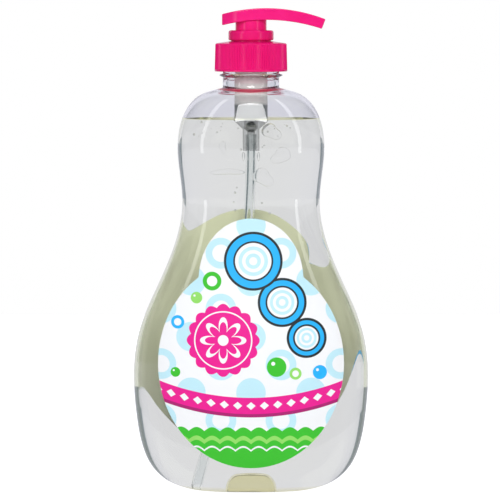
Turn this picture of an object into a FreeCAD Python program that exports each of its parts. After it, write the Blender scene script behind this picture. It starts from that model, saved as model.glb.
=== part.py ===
"""A clear dish soap bottle with a lotion pump, in millimetres.

The bottle stands on z = 0 with its axis on z. Its front faces -y and the spout points to +x.
The pump is locked down: its head sits low in the locking collar, as it is sold.
"""
import FreeCAD
import Part

import math
import os

from FreeCAD import Vector

os.makedirs("parts", exist_ok=True)

# Clearances
GLUE_GAP = 0.05          # between the bottle's skin and a label
WET_GAP = 0.05           # between the soap and the bottle's inner wall
PUMP_WET_GAP = 0.1       # between the soap and the pump parts that stand in it
RUNNING_GAP = 0.05       # between a plastic shaft or seal and its bore
LOOSE_GAP = 0.3          # between parts that pass each other freely
SEAT_GAP = 0.02          # between faces that rest on each other

# Neck finish, a 28 mm neck
NECK_RADIUS = 12.75
NECK_WALL = 1.95
NECK_BORE_RADIUS = NECK_RADIUS - NECK_WALL
NECK_ROOT_Z = 184.6
NECK_ROOT_COVE = 1.0
NECK_OVERLAP = 3.0       # how far the neck and its bore reach down into the body
BEAD_REACH = 1.5
BEAD_LOW_Z = 188.1
BEAD_HEIGHT = 1.6
RIM_Z = 200.0

# Bottle body: half width and half depth of the oval at each height
FOOT_HALF_WIDTH = 23.0
FOOT_HALF_DEPTH = 10.5
FOOT_FLARE_WIDTH = 6.6   # how far the body widens and deepens just above its foot
FOOT_FLARE_DEPTH = 3.3
SHOULDER_WIDTH = 4.65    # how far the shoulder's last row lies outside the neck
SHOULDER_DEPTH = 2.15
BODY_TOP_INSET = 0.55    # the body's top ring lies inside the neck's wall
BODY_ROWS = [
    # height, half width, half depth
    (0.0, FOOT_HALF_WIDTH, FOOT_HALF_DEPTH),
    (0.9, FOOT_HALF_WIDTH + FOOT_FLARE_WIDTH, FOOT_HALF_DEPTH + FOOT_FLARE_DEPTH),
    (4.1, 37.9, 18.2),
    (11.4, 45.6, 22.0),
    (22.3, 50.1, 24.0),
    (36.9, 52.5, 24.9),
    (55.0, 53.4, 25.1),
    (73.3, 50.7, 24.5),
    (91.5, 43.4, 23.1),
    (109.7, 35.6, 21.6),
    (131.5, 31.2, 20.6),
    (153.0, 33.2, 21.2),
    (167.0, 32.0, 20.8),
    (175.2, 28.2, 19.2),
    (180.2, 23.0, 17.2),
    (183.2, NECK_RADIUS + SHOULDER_WIDTH, NECK_RADIUS + SHOULDER_DEPTH),
    (185.0, NECK_RADIUS - BODY_TOP_INSET, NECK_RADIUS - BODY_TOP_INSET),
]
BODY_FULLNESS = 0.03     # how far the oval swells past an ellipse
ROUND_BLEND = 22.0       # height over which the oval turns into the neck's circle
SECTION_POLES = 24
BODY_SPLITS = (4, 8, 12)     # rows at which the side is divided into faces
WALL = 0.8

# Push-up in the middle of the base
PUSH_UP_HALF_WIDTH = 14.0
PUSH_UP_HALF_DEPTH = 6.4
PUSH_UP_HEIGHT = 9.5

# Gasket and pump housing
GASKET_HEIGHT = 1.0
GASKET_REACH = 0.25      # past the neck's wall
FLANGE_REACH = 0.45
FLANGE_HEIGHT = 1.2
HOUSING_RADIUS = 7.5
HOUSING_BORE_RADIUS = 6.5
HOUSING_FLOOR_Z = 169.3
CONE_TOP_Z = 168.0
CONE_BOTTOM_Z = 164.2
TUBE_SOCKET_RADIUS = 3.5
TUBE_SOCKET_LOW_Z = 155.0
TUBE_STOP_Z = 162.0
VENT_RADIUS = 0.6
VENT_BELOW_FLANGE = 3.0

# Check valve
BALL_RADIUS = 2.4
BALL_CHAMBER_RADIUS = 2.9
VALVE_SEAT_RADIUS = 1.6
VALVE_SEAT_Z = 163.2
BALL_LIFT = 1.2
NUB_COUNT = 4
NUB_WIDTH = 0.9
NUB_REACH = 0.9

# Dip tube
TUBE_RADIUS = 2.25
TUBE_BORE_RADIUS = 1.55
TUBE_END_Z = 6.0
TUBE_END_SWEEP = 23.5

# Closure
CLOSURE_LOW_Z = 190.7
CLOSURE_RIB_TOP_Z = 203.1
THREAD_ROOM = 1.45       # between the neck's wall and the closure's bore
CLOSURE_TOP_WALL = 1.95
CLOSURE_LOW_WALL = 2.3
CLOSURE_BORE_RADIUS = NECK_RADIUS + THREAD_ROOM
CLOSURE_TOP_RADIUS = CLOSURE_BORE_RADIUS + CLOSURE_TOP_WALL
CLOSURE_LOW_RADIUS = CLOSURE_BORE_RADIUS + CLOSURE_LOW_WALL
CLOSURE_LIP_HEIGHT = 0.8
CLOSURE_CROWN_HEIGHT = 0.6
RIB_COUNT = 120
RIB_DEPTH = 0.32

# Locking collar on the housing
COLLAR_RADIUS = 10.25
COLLAR_LOW_Z = 204.8
COLLAR_TOP_Z = 209.3
COLLAR_EDGE = 0.9
BARREL_RADIUS = 9.2
COLLAR_FLOOR = 1.2
COLLAR_PLUG_LENGTH = 3.0
COLLAR_PLUG_WALL = 1.4

# Stem, plug, piston and spring
STROKE = 13.5
STEM_RADIUS = 3.9
STEM_BORE_RADIUS = 2.5
STEM_LOW_Z = 178.6
PORT_RADIUS = 0.8
PLUG_FLANGE_RADIUS = 5.0
PLUG_FLANGE_HEIGHT = 1.4
PLUG_SHANK = 1.8
PORT_ABOVE_SHANK = 0.3
PISTON_HEIGHT = 5.6
PISTON_RELIEF = 0.6          # room around the stem in front of its ports
PISTON_RELIEF_HEIGHT = 4.2
PISTON_LIP = 1.6
PISTON_WAIST_RADIUS = 5.6
PISTON_SLIP = 1.2
SPRING_WIRE = 0.9
SPRING_RADIUS = 4.5
SPRING_TURNS = 5.5

# Pump head
SKIRT_RADIUS = 7.05
SKIRT_WALL = 1.1
SKIRT_LOW_Z = 204.2
HEAD_TAIL_X = -13.1
HEAD_TIP_X = 33.7
HEAD_RISE = 10.0             # the locked head's top above the collar
HEAD_TOP_Z = COLLAR_TOP_Z + HEAD_RISE
HEAD_TOP_X = 8.0
HEAD_TAIL_DROP = 2.7         # how far the bar's top falls from its highest point
HEAD_TIP_DROP = 5.0
HEAD_THICKNESS = 4.7
HEAD_TAIL_THICKNESS = 5.1
HEAD_ARCH_THICKNESS = 5.35   # where the bar arches over the skirt
HEAD_ARCH_X = 9.5
HEAD_TAIL_WIDTH = 7.5
HEAD_WIDTH = 17.0
HEAD_SHOULDER_X = -6.3
HEAD_TAIL_BOW = (2.9, 1.5)   # the tail's side swells at this distance from the shoulder's corner
HEAD_SIDE_BOW = 0.5
HEAD_TIP_WIDTH = 8.6
HEAD_EDGE = 0.5
HEAD_FUSE = 0.5              # how far the skirt and the socket reach into the bar
STEM_BELOW_ARCH = 2.05
RISER_STEP = 0.4             # the riser is narrower than the stem's bore, so that the stem's end has a seat
SPOUT_BORE_RADIUS = 1.7
SOCKET_WALL = 1.2
SOCKET_LOW_Z = 206.0

# Soap
FILL_Z = 169.0
TUBE_SOAP_Z = 70.0           # air that is shut in the locked pump keeps the soap in the tube low

# A box with these sides reaches past the whole bottle
EVERYWHERE = 400.0

# Labels: two overlapping ovals, seen from the front
LABEL_FILM = 0.12
LABEL_LOW_OVAL = (59.6, 41.9, 47.1)       # centre height, half width, half height
LABEL_HIGH_OVAL = (97.8, 23.5, 27.3)


def ring(outer, inner, low, high):
    """A plain ring about the z axis."""
    tube = Part.makeCylinder(outer, high - low, Vector(0, 0, low))
    return tube.cut(Part.makeCylinder(inner, high - low, Vector(0, 0, low)))


def block(low, high, front=-EVERYWHERE / 2, back=EVERYWHERE / 2):
    """A box between two heights, as wide as needed, used to cut the bottle's parts."""
    wide = EVERYWHERE / 2
    return Part.makeBox(EVERYWHERE, back - front, high - low, Vector(-wide, front, low))


def turned(points):
    """A solid turned about the z axis from (radius, height) points of its half section."""
    corners = [Vector(radius, 0, height) for radius, height in points]
    face = Part.Face(Part.makePolygon(corners + corners[:1]))
    return face.revolve(Vector(0, 0, 0), Vector(0, 0, 1), 360)


def arc_through(start, middle, end):
    return Part.Arc(start, middle, end).toShape()


def save(shape, node):
    """Writes one node's solids."""
    shape.exportStep("parts/" + node + ".step")
    print(node, "solids", len(shape.Solids), "valid", shape.isValid(), "volume", round(shape.Volume, 1))


def section_poles(half_width, half_depth, height, fullness):
    """Control points of a closed cubic spline whose curve is a full oval."""
    step = 2 * math.pi / SECTION_POLES
    first = (2 + math.cos(step)) / 3
    third = (2 + math.cos(3 * step)) / 3
    poles = []
    for place in range(SECTION_POLES):
        angle = place * step
        across = math.cos(angle) / first - fullness * math.cos(3 * angle) / third
        deep = math.sin(angle) / first + fullness * math.sin(3 * angle) / third
        grow = 1 / (1 - fullness)
        poles.append(Vector(half_width * across * grow, half_depth * deep * grow, height))
    return poles


def row_normals(rows):
    """Outward direction (radial, upward) of the body's outline at each row."""
    normals = []
    for place in range(len(rows)):
        before = rows[max(place - 1, 0)]
        after = rows[min(place + 1, len(rows) - 1)]
        rise = after[0] - before[0]
        widen = (after[1] + after[2] - before[1] - before[2]) / 2
        length = math.hypot(rise, widen)
        normals.append((rise / length, -widen / length))
    normals[0] = (0.0, -1.0)
    normals[-1] = normals[-2]
    return normals


def swept_oval(rows, offset, round_from, first_tangent, splits):
    """A closed solid through oval rows, each moved outwards by offset along its normal.

    Its side is two halves that meet at a mould's parting line, split again at the rows in splits.
    """
    spans = [0.0]
    for before, after in zip(rows, rows[1:]):
        spans.append(spans[-1] + math.hypot(after[0] - before[0], after[1] - before[1]))
    points = []
    for (height, half_width, half_depth), (radial, upward) in zip(rows, row_normals(rows)):
        moved = Vector(half_width + offset * radial, half_depth + offset * radial, height + offset * upward)
        points.append(moved)
    outline = Part.BSplineCurve()
    ends = [Vector(half_width, half_depth, height) for height, half_width, half_depth in rows[-2:]]
    outline.interpolate(
        Points=points,
        Parameters=spans,
        InitialTangent=first_tangent,
        FinalTangent=ends[1] - ends[0],
    )
    grid = []
    for pole in outline.getPoles():
        share = min(max((round_from - pole.z) / ROUND_BLEND, 0.0), 1.0)
        grid.append(section_poles(pole.x, pole.y, pole.z, BODY_FULLNESS * share))
    columns = [[row[place] for row in grid] for place in range(SECTION_POLES)]
    surface = Part.BSplineSurface()
    surface.buildFromPolesMultsKnots(
        columns,
        [1] * (SECTION_POLES + 1),
        outline.getMultiplicities(),
        [float(place) for place in range(SECTION_POLES + 1)],
        outline.getKnots(),
        True,
        False,
        3,
        3,
    )
    stops = [spans[0]] + [spans[place] for place in splits] + [spans[-1]]
    halves = (0.0, SECTION_POLES / 2, float(SECTION_POLES))
    faces = []
    for low, high in zip(stops, stops[1:]):
        for start, end in zip(halves, halves[1:]):
            patch = surface.copy()
            patch.segment(start, end, low, high)
            faces.append(patch.toShape())
    for level in (stops[0], stops[-1]):
        rim = surface.vIso(level)
        arcs = [rim.toShape(start, end) for start, end in zip(halves, halves[1:])]
        faces.append(Part.Face(Part.Wire(arcs)))
    shell = Part.Shell(faces)
    shell.sewShape()
    solid = Part.Solid(shell)
    if solid.Volume < 0:
        solid.reverse()
    return solid


def body_shape(offset):
    """The bottle's body without its neck and push-up, grown by offset."""
    flat_start = Vector(1, FOOT_HALF_DEPTH / FOOT_HALF_WIDTH, 0)
    return swept_oval(BODY_ROWS, offset, NECK_ROOT_Z, flat_start, BODY_SPLITS)


def push_up_shape(offset):
    """The dome that is pressed up into the base, grown by offset."""
    wide = PUSH_UP_HALF_WIDTH
    deep = PUSH_UP_HALF_DEPTH
    tall = PUSH_UP_HEIGHT
    rows = [
        (-1.0, wide + 1.5, deep + 1.5),
        (0.6, wide - 1.0, deep - 0.7),
        (0.35 * tall, 0.82 * wide, 0.84 * deep),
        (0.75 * tall, 0.68 * wide, 0.7 * deep),
        (0.96 * tall, 0.48 * wide, 0.5 * deep),
        (tall, 0.25 * wide, 0.26 * deep),
    ]
    return swept_oval(rows, offset, 10 * tall, Vector(-0.6, -0.6, 1), ())


def neck_outside():
    """The neck finish: cove, neck wall, bead and the wall inside the closure."""
    cove_side = NECK_RADIUS + NECK_ROOT_COVE
    bead_side = NECK_RADIUS + BEAD_REACH
    bead_top = BEAD_LOW_Z + BEAD_HEIGHT
    lower = [
        Vector(0, 0, NECK_ROOT_Z - NECK_OVERLAP),
        Vector(NECK_RADIUS, 0, NECK_ROOT_Z - NECK_OVERLAP),
        Vector(cove_side, 0, NECK_ROOT_Z - NECK_ROOT_COVE),
        Vector(cove_side, 0, NECK_ROOT_Z),
    ]
    cove_middle = NECK_ROOT_COVE * (1 - math.sqrt(0.5))
    cove = Part.Arc(
        lower[-1],
        Vector(NECK_RADIUS + cove_middle, 0, NECK_ROOT_Z + cove_middle),
        Vector(NECK_RADIUS, 0, NECK_ROOT_Z + NECK_ROOT_COVE),
    )
    upper = [
        Vector(NECK_RADIUS, 0, NECK_ROOT_Z + NECK_ROOT_COVE),
        Vector(NECK_RADIUS, 0, BEAD_LOW_Z),
        Vector(bead_side, 0, BEAD_LOW_Z + 0.4 * BEAD_HEIGHT),
        Vector(bead_side, 0, BEAD_LOW_Z + 0.7 * BEAD_HEIGHT),
        Vector(NECK_RADIUS, 0, bead_top),
        Vector(NECK_RADIUS, 0, RIM_Z),
        Vector(0, 0, RIM_Z),
        lower[0],
    ]
    edges = [Part.makeLine(start, end) for start, end in zip(lower, lower[1:])]
    edges.append(cove.toShape())
    edges += [Part.makeLine(start, end) for start, end in zip(upper, upper[1:])]
    face = Part.Face(Part.Wire(edges))
    return face.revolve(Vector(0, 0, 0), Vector(0, 0, 1), 360)


def neck_bore():
    """The straight hole through the neck, down into the body's hollow."""
    low = NECK_ROOT_Z - NECK_OVERLAP
    return Part.makeCylinder(NECK_BORE_RADIUS, RIM_Z - low, Vector(0, 0, low))


def hollow_shape(shrink):
    """The room inside the bottle below the neck, shrunk by a gap on every side."""
    room = body_shape(-WALL - shrink)
    return room.cut(push_up_shape(WALL + shrink))


def make_bottle():
    """One blow-moulded piece: body, push-up base and neck."""
    outside = body_shape(0).fuse(neck_outside())
    solid = outside.cut(push_up_shape(0))
    return solid.cut(hollow_shape(0).fuse(neck_bore()))


def housing_outline(gap):
    """Outside of the pump housing, turned, grown by a gap below its flange."""
    return turned([
        (0, TUBE_SOCKET_LOW_Z - gap),
        (TUBE_SOCKET_RADIUS + gap, TUBE_SOCKET_LOW_Z - gap),
        (TUBE_SOCKET_RADIUS + gap, CONE_BOTTOM_Z - gap),
        (HOUSING_RADIUS + gap, CONE_TOP_Z - gap),
        (HOUSING_RADIUS + gap, RIM_Z + GASKET_HEIGHT),
        (0, RIM_Z + GASKET_HEIGHT),
    ])


def tube_path():
    """The dip tube's middle line: straight in its socket, then one arc towards a corner of the base."""
    top = Vector(0, 0, TUBE_STOP_Z)
    start = Vector(0, 0, TUBE_SOCKET_LOW_Z)
    drop = TUBE_SOCKET_LOW_Z - TUBE_END_Z
    radius = (drop ** 2 + TUBE_END_SWEEP ** 2) / (2 * TUBE_END_SWEEP)
    half_turn = math.asin(drop / radius) / 2
    sideways = radius * (1 - math.cos(half_turn))
    middle = Vector(-sideways, 0, TUBE_SOCKET_LOW_Z - radius * math.sin(half_turn))
    end = Vector(-TUBE_END_SWEEP, 0, TUBE_END_Z)
    return Part.Wire([Part.makeLine(top, start), arc_through(start, middle, end)])


def tube_rod(radius):
    """A round rod of one radius along the dip tube's line."""
    start = Vector(0, 0, TUBE_STOP_Z)
    circle = Part.Wire([Part.makeCircle(radius, start, Vector(0, 0, -1))])
    return tube_path().makePipeShell([circle], True, False)


def make_dip_tube():
    return tube_rod(TUBE_RADIUS).cut(tube_rod(TUBE_BORE_RADIUS))


def make_housing():
    """The pump's cylinder with its flange, spring shelf, ball chamber and tube socket."""
    flange_low = RIM_Z + GASKET_HEIGHT
    flange_top = flange_low + FLANGE_HEIGHT
    solid = housing_outline(0)
    solid = solid.fuse(ring(NECK_RADIUS + FLANGE_REACH, HOUSING_BORE_RADIUS, flange_low, flange_top))
    inside = turned([
        (0, TUBE_SOCKET_LOW_Z),
        (TUBE_RADIUS + SEAT_GAP, TUBE_SOCKET_LOW_Z),
        (TUBE_RADIUS + SEAT_GAP, TUBE_STOP_Z),
        (VALVE_SEAT_RADIUS, TUBE_STOP_Z),
        (VALVE_SEAT_RADIUS, VALVE_SEAT_Z),
        (BALL_CHAMBER_RADIUS, VALVE_SEAT_Z + BALL_CHAMBER_RADIUS - VALVE_SEAT_RADIUS),
        (BALL_CHAMBER_RADIUS, HOUSING_FLOOR_Z),
        (HOUSING_BORE_RADIUS, HOUSING_FLOOR_Z),
        (HOUSING_BORE_RADIUS, flange_top),
        (0, flange_top),
    ])
    solid = solid.cut(inside)
    vent_z = flange_low - VENT_BELOW_FLANGE
    vent = Part.makeCylinder(VENT_RADIUS, HOUSING_RADIUS + 1, Vector(0, 0, vent_z), Vector(0, 1, 0))
    solid = solid.cut(vent)
    for place in range(NUB_COUNT):
        solid = solid.fuse(ball_nub(360 / NUB_COUNT * place))
    return solid


def ball_height():
    """Height of the ball's centre when it rests on its 45 degree seat."""
    return VALVE_SEAT_Z - VALVE_SEAT_RADIUS + BALL_RADIUS * math.sqrt(2) + SEAT_GAP


def ball_nub(angle):
    """One of the nubs above the ball that keep it in its chamber."""
    reach = BALL_CHAMBER_RADIUS - NUB_REACH
    low = ball_height() + BALL_LIFT + math.sqrt(BALL_RADIUS ** 2 - reach ** 2) + SEAT_GAP
    nub = Part.makeBox(
        NUB_REACH + 0.5, NUB_WIDTH, HOUSING_FLOOR_Z + 0.9 - low, Vector(reach, -NUB_WIDTH / 2, low)
    )
    nub.rotate(Vector(0, 0, 0), Vector(0, 0, 1), angle)
    return nub


def make_ball():
    return Part.makeSphere(BALL_RADIUS, Vector(0, 0, ball_height()))


def make_gasket():
    return ring(NECK_RADIUS + GASKET_REACH, NECK_BORE_RADIUS, RIM_Z, RIM_Z + GASKET_HEIGHT)


def closure_radius(height):
    """Outside radius of the slightly flared closure at a height."""
    share = (height - CLOSURE_LOW_Z) / (CLOSURE_RIB_TOP_Z - CLOSURE_LOW_Z)
    return CLOSURE_LOW_RADIUS + share * (CLOSURE_TOP_RADIUS - CLOSURE_LOW_RADIUS)


def rib_ring(height):
    """A toothed outline around the closure, one crest for each rib."""
    crest = closure_radius(height)
    points = []
    for place in range(2 * RIB_COUNT):
        radius = crest if place % 2 == 0 else crest - RIB_DEPTH
        angle = math.pi / RIB_COUNT * place
        points.append(Vector(radius * math.cos(angle), radius * math.sin(angle), height))
    return Part.makePolygon(points + points[:1])


def make_closure():
    """The ribbed screw cap: plain lip, ribbed wall, sloping crown and top panel."""
    panel_low = RIM_Z + GASKET_HEIGHT + FLANGE_HEIGHT + SEAT_GAP
    rib_low = CLOSURE_LOW_Z + CLOSURE_LIP_HEIGHT
    ribs = Part.makeLoft([rib_ring(rib_low), rib_ring(CLOSURE_RIB_TOP_Z)], True, True)
    wall = closure_radius(rib_low) - RIB_DEPTH
    lip = turned([
        (0, CLOSURE_LOW_Z),
        (CLOSURE_LOW_RADIUS - 0.2, CLOSURE_LOW_Z),
        (CLOSURE_LOW_RADIUS, CLOSURE_LOW_Z + 0.2),
        (CLOSURE_LOW_RADIUS, rib_low),
        (wall, rib_low + RIB_DEPTH),
        (0, rib_low + RIB_DEPTH),
    ])
    crown_edge = CLOSURE_TOP_RADIUS - RIB_DEPTH
    crown_top = CLOSURE_RIB_TOP_Z + CLOSURE_CROWN_HEIGHT
    crown = turned([
        (0, CLOSURE_RIB_TOP_Z - 1),
        (crown_edge, CLOSURE_RIB_TOP_Z - 1),
        (crown_edge + 0.15, CLOSURE_RIB_TOP_Z),
        (crown_edge - 0.1, CLOSURE_RIB_TOP_Z + 0.35),
        (COLLAR_RADIUS - 0.4, crown_top + 0.6),
        (0, crown_top + 0.6),
    ])
    solid = ribs.fuse([lip, crown])
    low = Vector(0, 0, CLOSURE_LOW_Z)
    bore = Part.makeCylinder(CLOSURE_BORE_RADIUS, panel_low - CLOSURE_LOW_Z, low)
    hole = Part.makeCylinder(BARREL_RADIUS + LOOSE_GAP, EVERYWHERE, low)
    return solid.cut(bore.fuse(hole))


def make_collar():
    """The locking collar: it holds the closure on the housing and guides the pump head's skirt."""
    flange_top = RIM_Z + GASKET_HEIGHT + FLANGE_HEIGHT + SEAT_GAP
    skirt_room = SKIRT_RADIUS + LOOSE_GAP
    floor_top = flange_top + COLLAR_FLOOR
    plug_radius = HOUSING_BORE_RADIUS - RUNNING_GAP
    return turned([
        (STEM_RADIUS + LOOSE_GAP, flange_top - COLLAR_PLUG_LENGTH),
        (plug_radius, flange_top - COLLAR_PLUG_LENGTH),
        (plug_radius, flange_top),
        (BARREL_RADIUS, flange_top),
        (BARREL_RADIUS, COLLAR_LOW_Z),
        (COLLAR_RADIUS - 0.25, COLLAR_LOW_Z),
        (COLLAR_RADIUS, COLLAR_LOW_Z + 0.5),
        (COLLAR_RADIUS, COLLAR_TOP_Z - COLLAR_EDGE),
        (COLLAR_RADIUS - 0.3 * COLLAR_EDGE, COLLAR_TOP_Z - 0.3 * COLLAR_EDGE),
        (COLLAR_RADIUS - COLLAR_EDGE, COLLAR_TOP_Z),
        (skirt_room, COLLAR_TOP_Z),
        (skirt_room, floor_top),
        (plug_radius - COLLAR_PLUG_WALL, floor_top),
        (plug_radius - COLLAR_PLUG_WALL, floor_top - COLLAR_FLOOR),
        (STEM_RADIUS + LOOSE_GAP, floor_top - COLLAR_FLOOR),
    ])


def make_stem():
    """The hollow stem, with two ports above its plug."""
    solid = ring(STEM_RADIUS, STEM_BORE_RADIUS, STEM_LOW_Z, stem_top())
    port_z = STEM_LOW_Z + PLUG_SHANK + PORT_ABOVE_SHANK + PORT_RADIUS
    outside = Vector(-2 * STEM_RADIUS, 0, port_z)
    return solid.cut(Part.makeCylinder(PORT_RADIUS, 4 * STEM_RADIUS, outside, Vector(1, 0, 0)))


def make_plug():
    """The plug in the stem's lower end: the piston seats on its flange and the spring pushes under it."""
    low = STEM_LOW_Z - PLUG_FLANGE_HEIGHT
    pilot = SPRING_RADIUS - SPRING_WIRE / 2 - LOOSE_GAP
    return turned([
        (0, low - 1.2),
        (pilot - 0.3, low - 1.2),
        (pilot, low - 0.9),
        (pilot, low),
        (PLUG_FLANGE_RADIUS, low),
        (PLUG_FLANGE_RADIUS, STEM_LOW_Z - 0.3),
        (PLUG_FLANGE_RADIUS - 0.3, STEM_LOW_Z - SEAT_GAP),
        (STEM_BORE_RADIUS - SEAT_GAP, STEM_LOW_Z - SEAT_GAP),
        (STEM_BORE_RADIUS - SEAT_GAP, STEM_LOW_Z + PLUG_SHANK),
        (0, STEM_LOW_Z + PLUG_SHANK),
    ])


def make_piston():
    """The piston: two flared lips that wipe the housing's bore, around the stem."""
    low = STEM_LOW_Z
    top = low + PISTON_HEIGHT
    lip = HOUSING_BORE_RADIUS - RUNNING_GAP
    bore = STEM_RADIUS + RUNNING_GAP
    relief = STEM_RADIUS + PISTON_RELIEF
    return turned([
        (relief, low),
        (PISTON_WAIST_RADIUS - 0.6, low),
        (PISTON_WAIST_RADIUS - 0.6, low + 0.6),
        (lip - 0.5, low),
        (lip, low + 0.1),
        (PISTON_WAIST_RADIUS, low + PISTON_LIP),
        (PISTON_WAIST_RADIUS, top - PISTON_LIP),
        (lip, top - 0.1),
        (lip - 0.5, top),
        (PISTON_WAIST_RADIUS - 0.6, top - 0.6),
        (PISTON_WAIST_RADIUS - 0.6, top),
        (bore, top),
        (bore, low + PISTON_RELIEF_HEIGHT),
        (relief, low + PISTON_RELIEF_HEIGHT),
    ])


def make_spring():
    """The compression spring, squeezed between the housing's shelf and the plug."""
    low = HOUSING_FLOOR_Z + SPRING_WIRE / 2 + SEAT_GAP
    top = STEM_LOW_Z - PLUG_FLANGE_HEIGHT - SPRING_WIRE / 2 - SEAT_GAP
    pitch = (top - low) / SPRING_TURNS
    helix = Part.makeHelix(pitch, top - low, SPRING_RADIUS)
    helix.translate(Vector(0, 0, low))
    wire = Part.Wire([Part.makeCircle(SPRING_WIRE / 2, Vector(SPRING_RADIUS, 0, low), Vector(0, 1, 0))])
    return Part.Wire(helix.Edges).makePipeShell([wire], True, True)


def arch_height():
    """Height of the bar's underside where it arches over the skirt."""
    return HEAD_TOP_Z - HEAD_ARCH_THICKNESS


def stem_top():
    return arch_height() - STEM_BELOW_ARCH


def bar_top():
    """Three points along the top of the head: its tail, its highest point and its tip."""
    return [
        Vector(HEAD_TAIL_X, 0, HEAD_TOP_Z - HEAD_TAIL_DROP),
        Vector(HEAD_TOP_X, 0, HEAD_TOP_Z),
        Vector(HEAD_TIP_X, 0, HEAD_TOP_Z - HEAD_TIP_DROP),
    ]


def bar_circle():
    """Centre and radius of the arc along the top of the head."""
    circle = arc_through(*bar_top()).Curve
    return circle.Center, circle.Radius


def channel_point(x):
    """A point of the spout channel's middle line."""
    centre, radius = bar_circle()
    across = x - centre.x
    return Vector(x, 0, centre.z + math.sqrt((radius - HEAD_THICKNESS / 2) ** 2 - across ** 2))


def head_bar():
    """The curved bar of the head, its edges softened."""
    centre, _ = bar_circle()
    tail, top, tip = bar_top()
    tip_low = tip + (centre - tip).normalize() * HEAD_THICKNESS
    tail_low = tail - Vector(0, 0, HEAD_TAIL_THICKNESS)
    side_wire = Part.Wire([
        arc_through(tail, top, tip),
        Part.makeLine(tip, tip_low),
        arc_through(tip_low, Vector(HEAD_ARCH_X, 0, arch_height()), tail_low),
        Part.makeLine(tail_low, tail),
    ])
    side = Part.Face(side_wire)
    side.translate(Vector(0, -HEAD_WIDTH, 0))
    bar = side.extrude(Vector(0, 2 * HEAD_WIDTH, 0))
    plan = plan_outline().extrude(Vector(0, 0, 3 * HEAD_WIDTH))
    plan.translate(Vector(0, 0, HEAD_TOP_Z - 2 * HEAD_WIDTH))
    bar = bar.common(plan)
    return bar.makeFillet(HEAD_EDGE, bar.Edges)


def spout_channel():
    """The curved passage from the stem to the spout's tip."""
    start = channel_point(HEAD_TIP_X + 1)
    path = Part.Wire([arc_through(start, channel_point(HEAD_TIP_X / 2), channel_point(0))])
    along = start - channel_point(HEAD_TIP_X)
    circle = Part.Wire([Part.makeCircle(SPOUT_BORE_RADIUS, start, along)])
    return path.makePipeShell([circle], True, False)


def make_head():
    """The pump head: a curved bar with a finger pad and a spout, a skirt and the stem's socket."""
    socket_bore = STEM_RADIUS + SEAT_GAP
    fused = arch_height() + HEAD_FUSE
    skirt = ring(SKIRT_RADIUS, SKIRT_RADIUS - SKIRT_WALL, SKIRT_LOW_Z, fused)
    socket = Part.makeCylinder(socket_bore + SOCKET_WALL, fused - SOCKET_LOW_Z, Vector(0, 0, SOCKET_LOW_Z))
    solid = head_bar().fuse([skirt, socket])
    well = Part.makeCylinder(socket_bore, stem_top() + SEAT_GAP - SOCKET_LOW_Z, Vector(0, 0, SOCKET_LOW_Z))
    rise = channel_point(0).z - stem_top()
    riser = Part.makeCylinder(STEM_BORE_RADIUS - RISER_STEP, rise, Vector(0, 0, stem_top()))
    return solid.cut(well.fuse([riser, spout_channel()]))


def plan_outline():
    """The head seen from above: a narrow tail, a wide finger pad and a spout that tapers to its tip."""
    tail = HEAD_TAIL_WIDTH / 2
    wide = HEAD_WIDTH / 2
    tip = HEAD_TIP_WIDTH / 2
    edges = []
    for side in (1, -1):
        corner = Vector(HEAD_SHOULDER_X, side * wide, 0)
        edges.append(arc_through(
            Vector(HEAD_TAIL_X, side * tail, 0),
            Vector(HEAD_SHOULDER_X - HEAD_TAIL_BOW[0], side * (wide - HEAD_TAIL_BOW[1]), 0),
            corner,
        ))
        edges.append(arc_through(
            corner,
            Vector((HEAD_SHOULDER_X + HEAD_TIP_X) / 2, side * ((wide + tip) / 2 + HEAD_SIDE_BOW), 0),
            Vector(HEAD_TIP_X + 1, side * tip, 0),
        ))
    edges.append(Part.makeLine(Vector(HEAD_TAIL_X, -tail, 0), Vector(HEAD_TAIL_X, tail, 0)))
    edges.append(Part.makeLine(Vector(HEAD_TIP_X + 1, -tip, 0), Vector(HEAD_TIP_X + 1, tip, 0)))
    return Part.Face(Part.Wire(Part.sortEdges(edges)[0]))


def make_soap():
    """The soap: the room below its surface that the pump leaves, joined to the column in the dip tube."""
    pool = hollow_shape(WET_GAP).common(block(-EVERYWHERE, FILL_Z))
    pump = housing_outline(PUMP_WET_GAP).fuse(tube_rod(TUBE_RADIUS + PUMP_WET_GAP))
    column = tube_rod(TUBE_BORE_RADIUS - WET_GAP).common(block(-EVERYWHERE, TUBE_SOAP_Z))
    return pool.cut(pump).fuse(column)


def label_outline():
    """The label's outline as a prism through the bottle, from front to back."""
    prisms = []
    for centre_z, half_width, half_height in (LABEL_LOW_OVAL, LABEL_HIGH_OVAL):
        wide = max(half_width, half_height)
        narrow = min(half_width, half_height)
        long_axis = Vector(1, 0, 0) if half_width > half_height else Vector(0, 0, 1)
        ellipse = Part.Ellipse(Vector(0, 0, 0), wide, narrow)
        edge = ellipse.toShape()
        edge.rotate(Vector(0, 0, 0), Vector(1, 0, 0), 90)
        if long_axis.z:
            edge.rotate(Vector(0, 0, 0), Vector(0, 1, 0), 90)
        edge.translate(Vector(0, -EVERYWHERE / 2, centre_z))
        prisms.append(Part.Face(Part.Wire([edge])).extrude(Vector(0, EVERYWHERE, 0)))
    return prisms[0].fuse(prisms[1]).removeSplitter()


def make_labels():
    """Two thin labels on the bottle's skin, front and back."""
    film = body_shape(GLUE_GAP + LABEL_FILM).cut(body_shape(GLUE_GAP))
    labels = []
    for front, back in ((-EVERYWHERE / 2, 0), (0, EVERYWHERE / 2)):
        half = block(0, RIM_Z, front, back)
        labels.append(film.common(label_outline()).common(half))
    return labels


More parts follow.
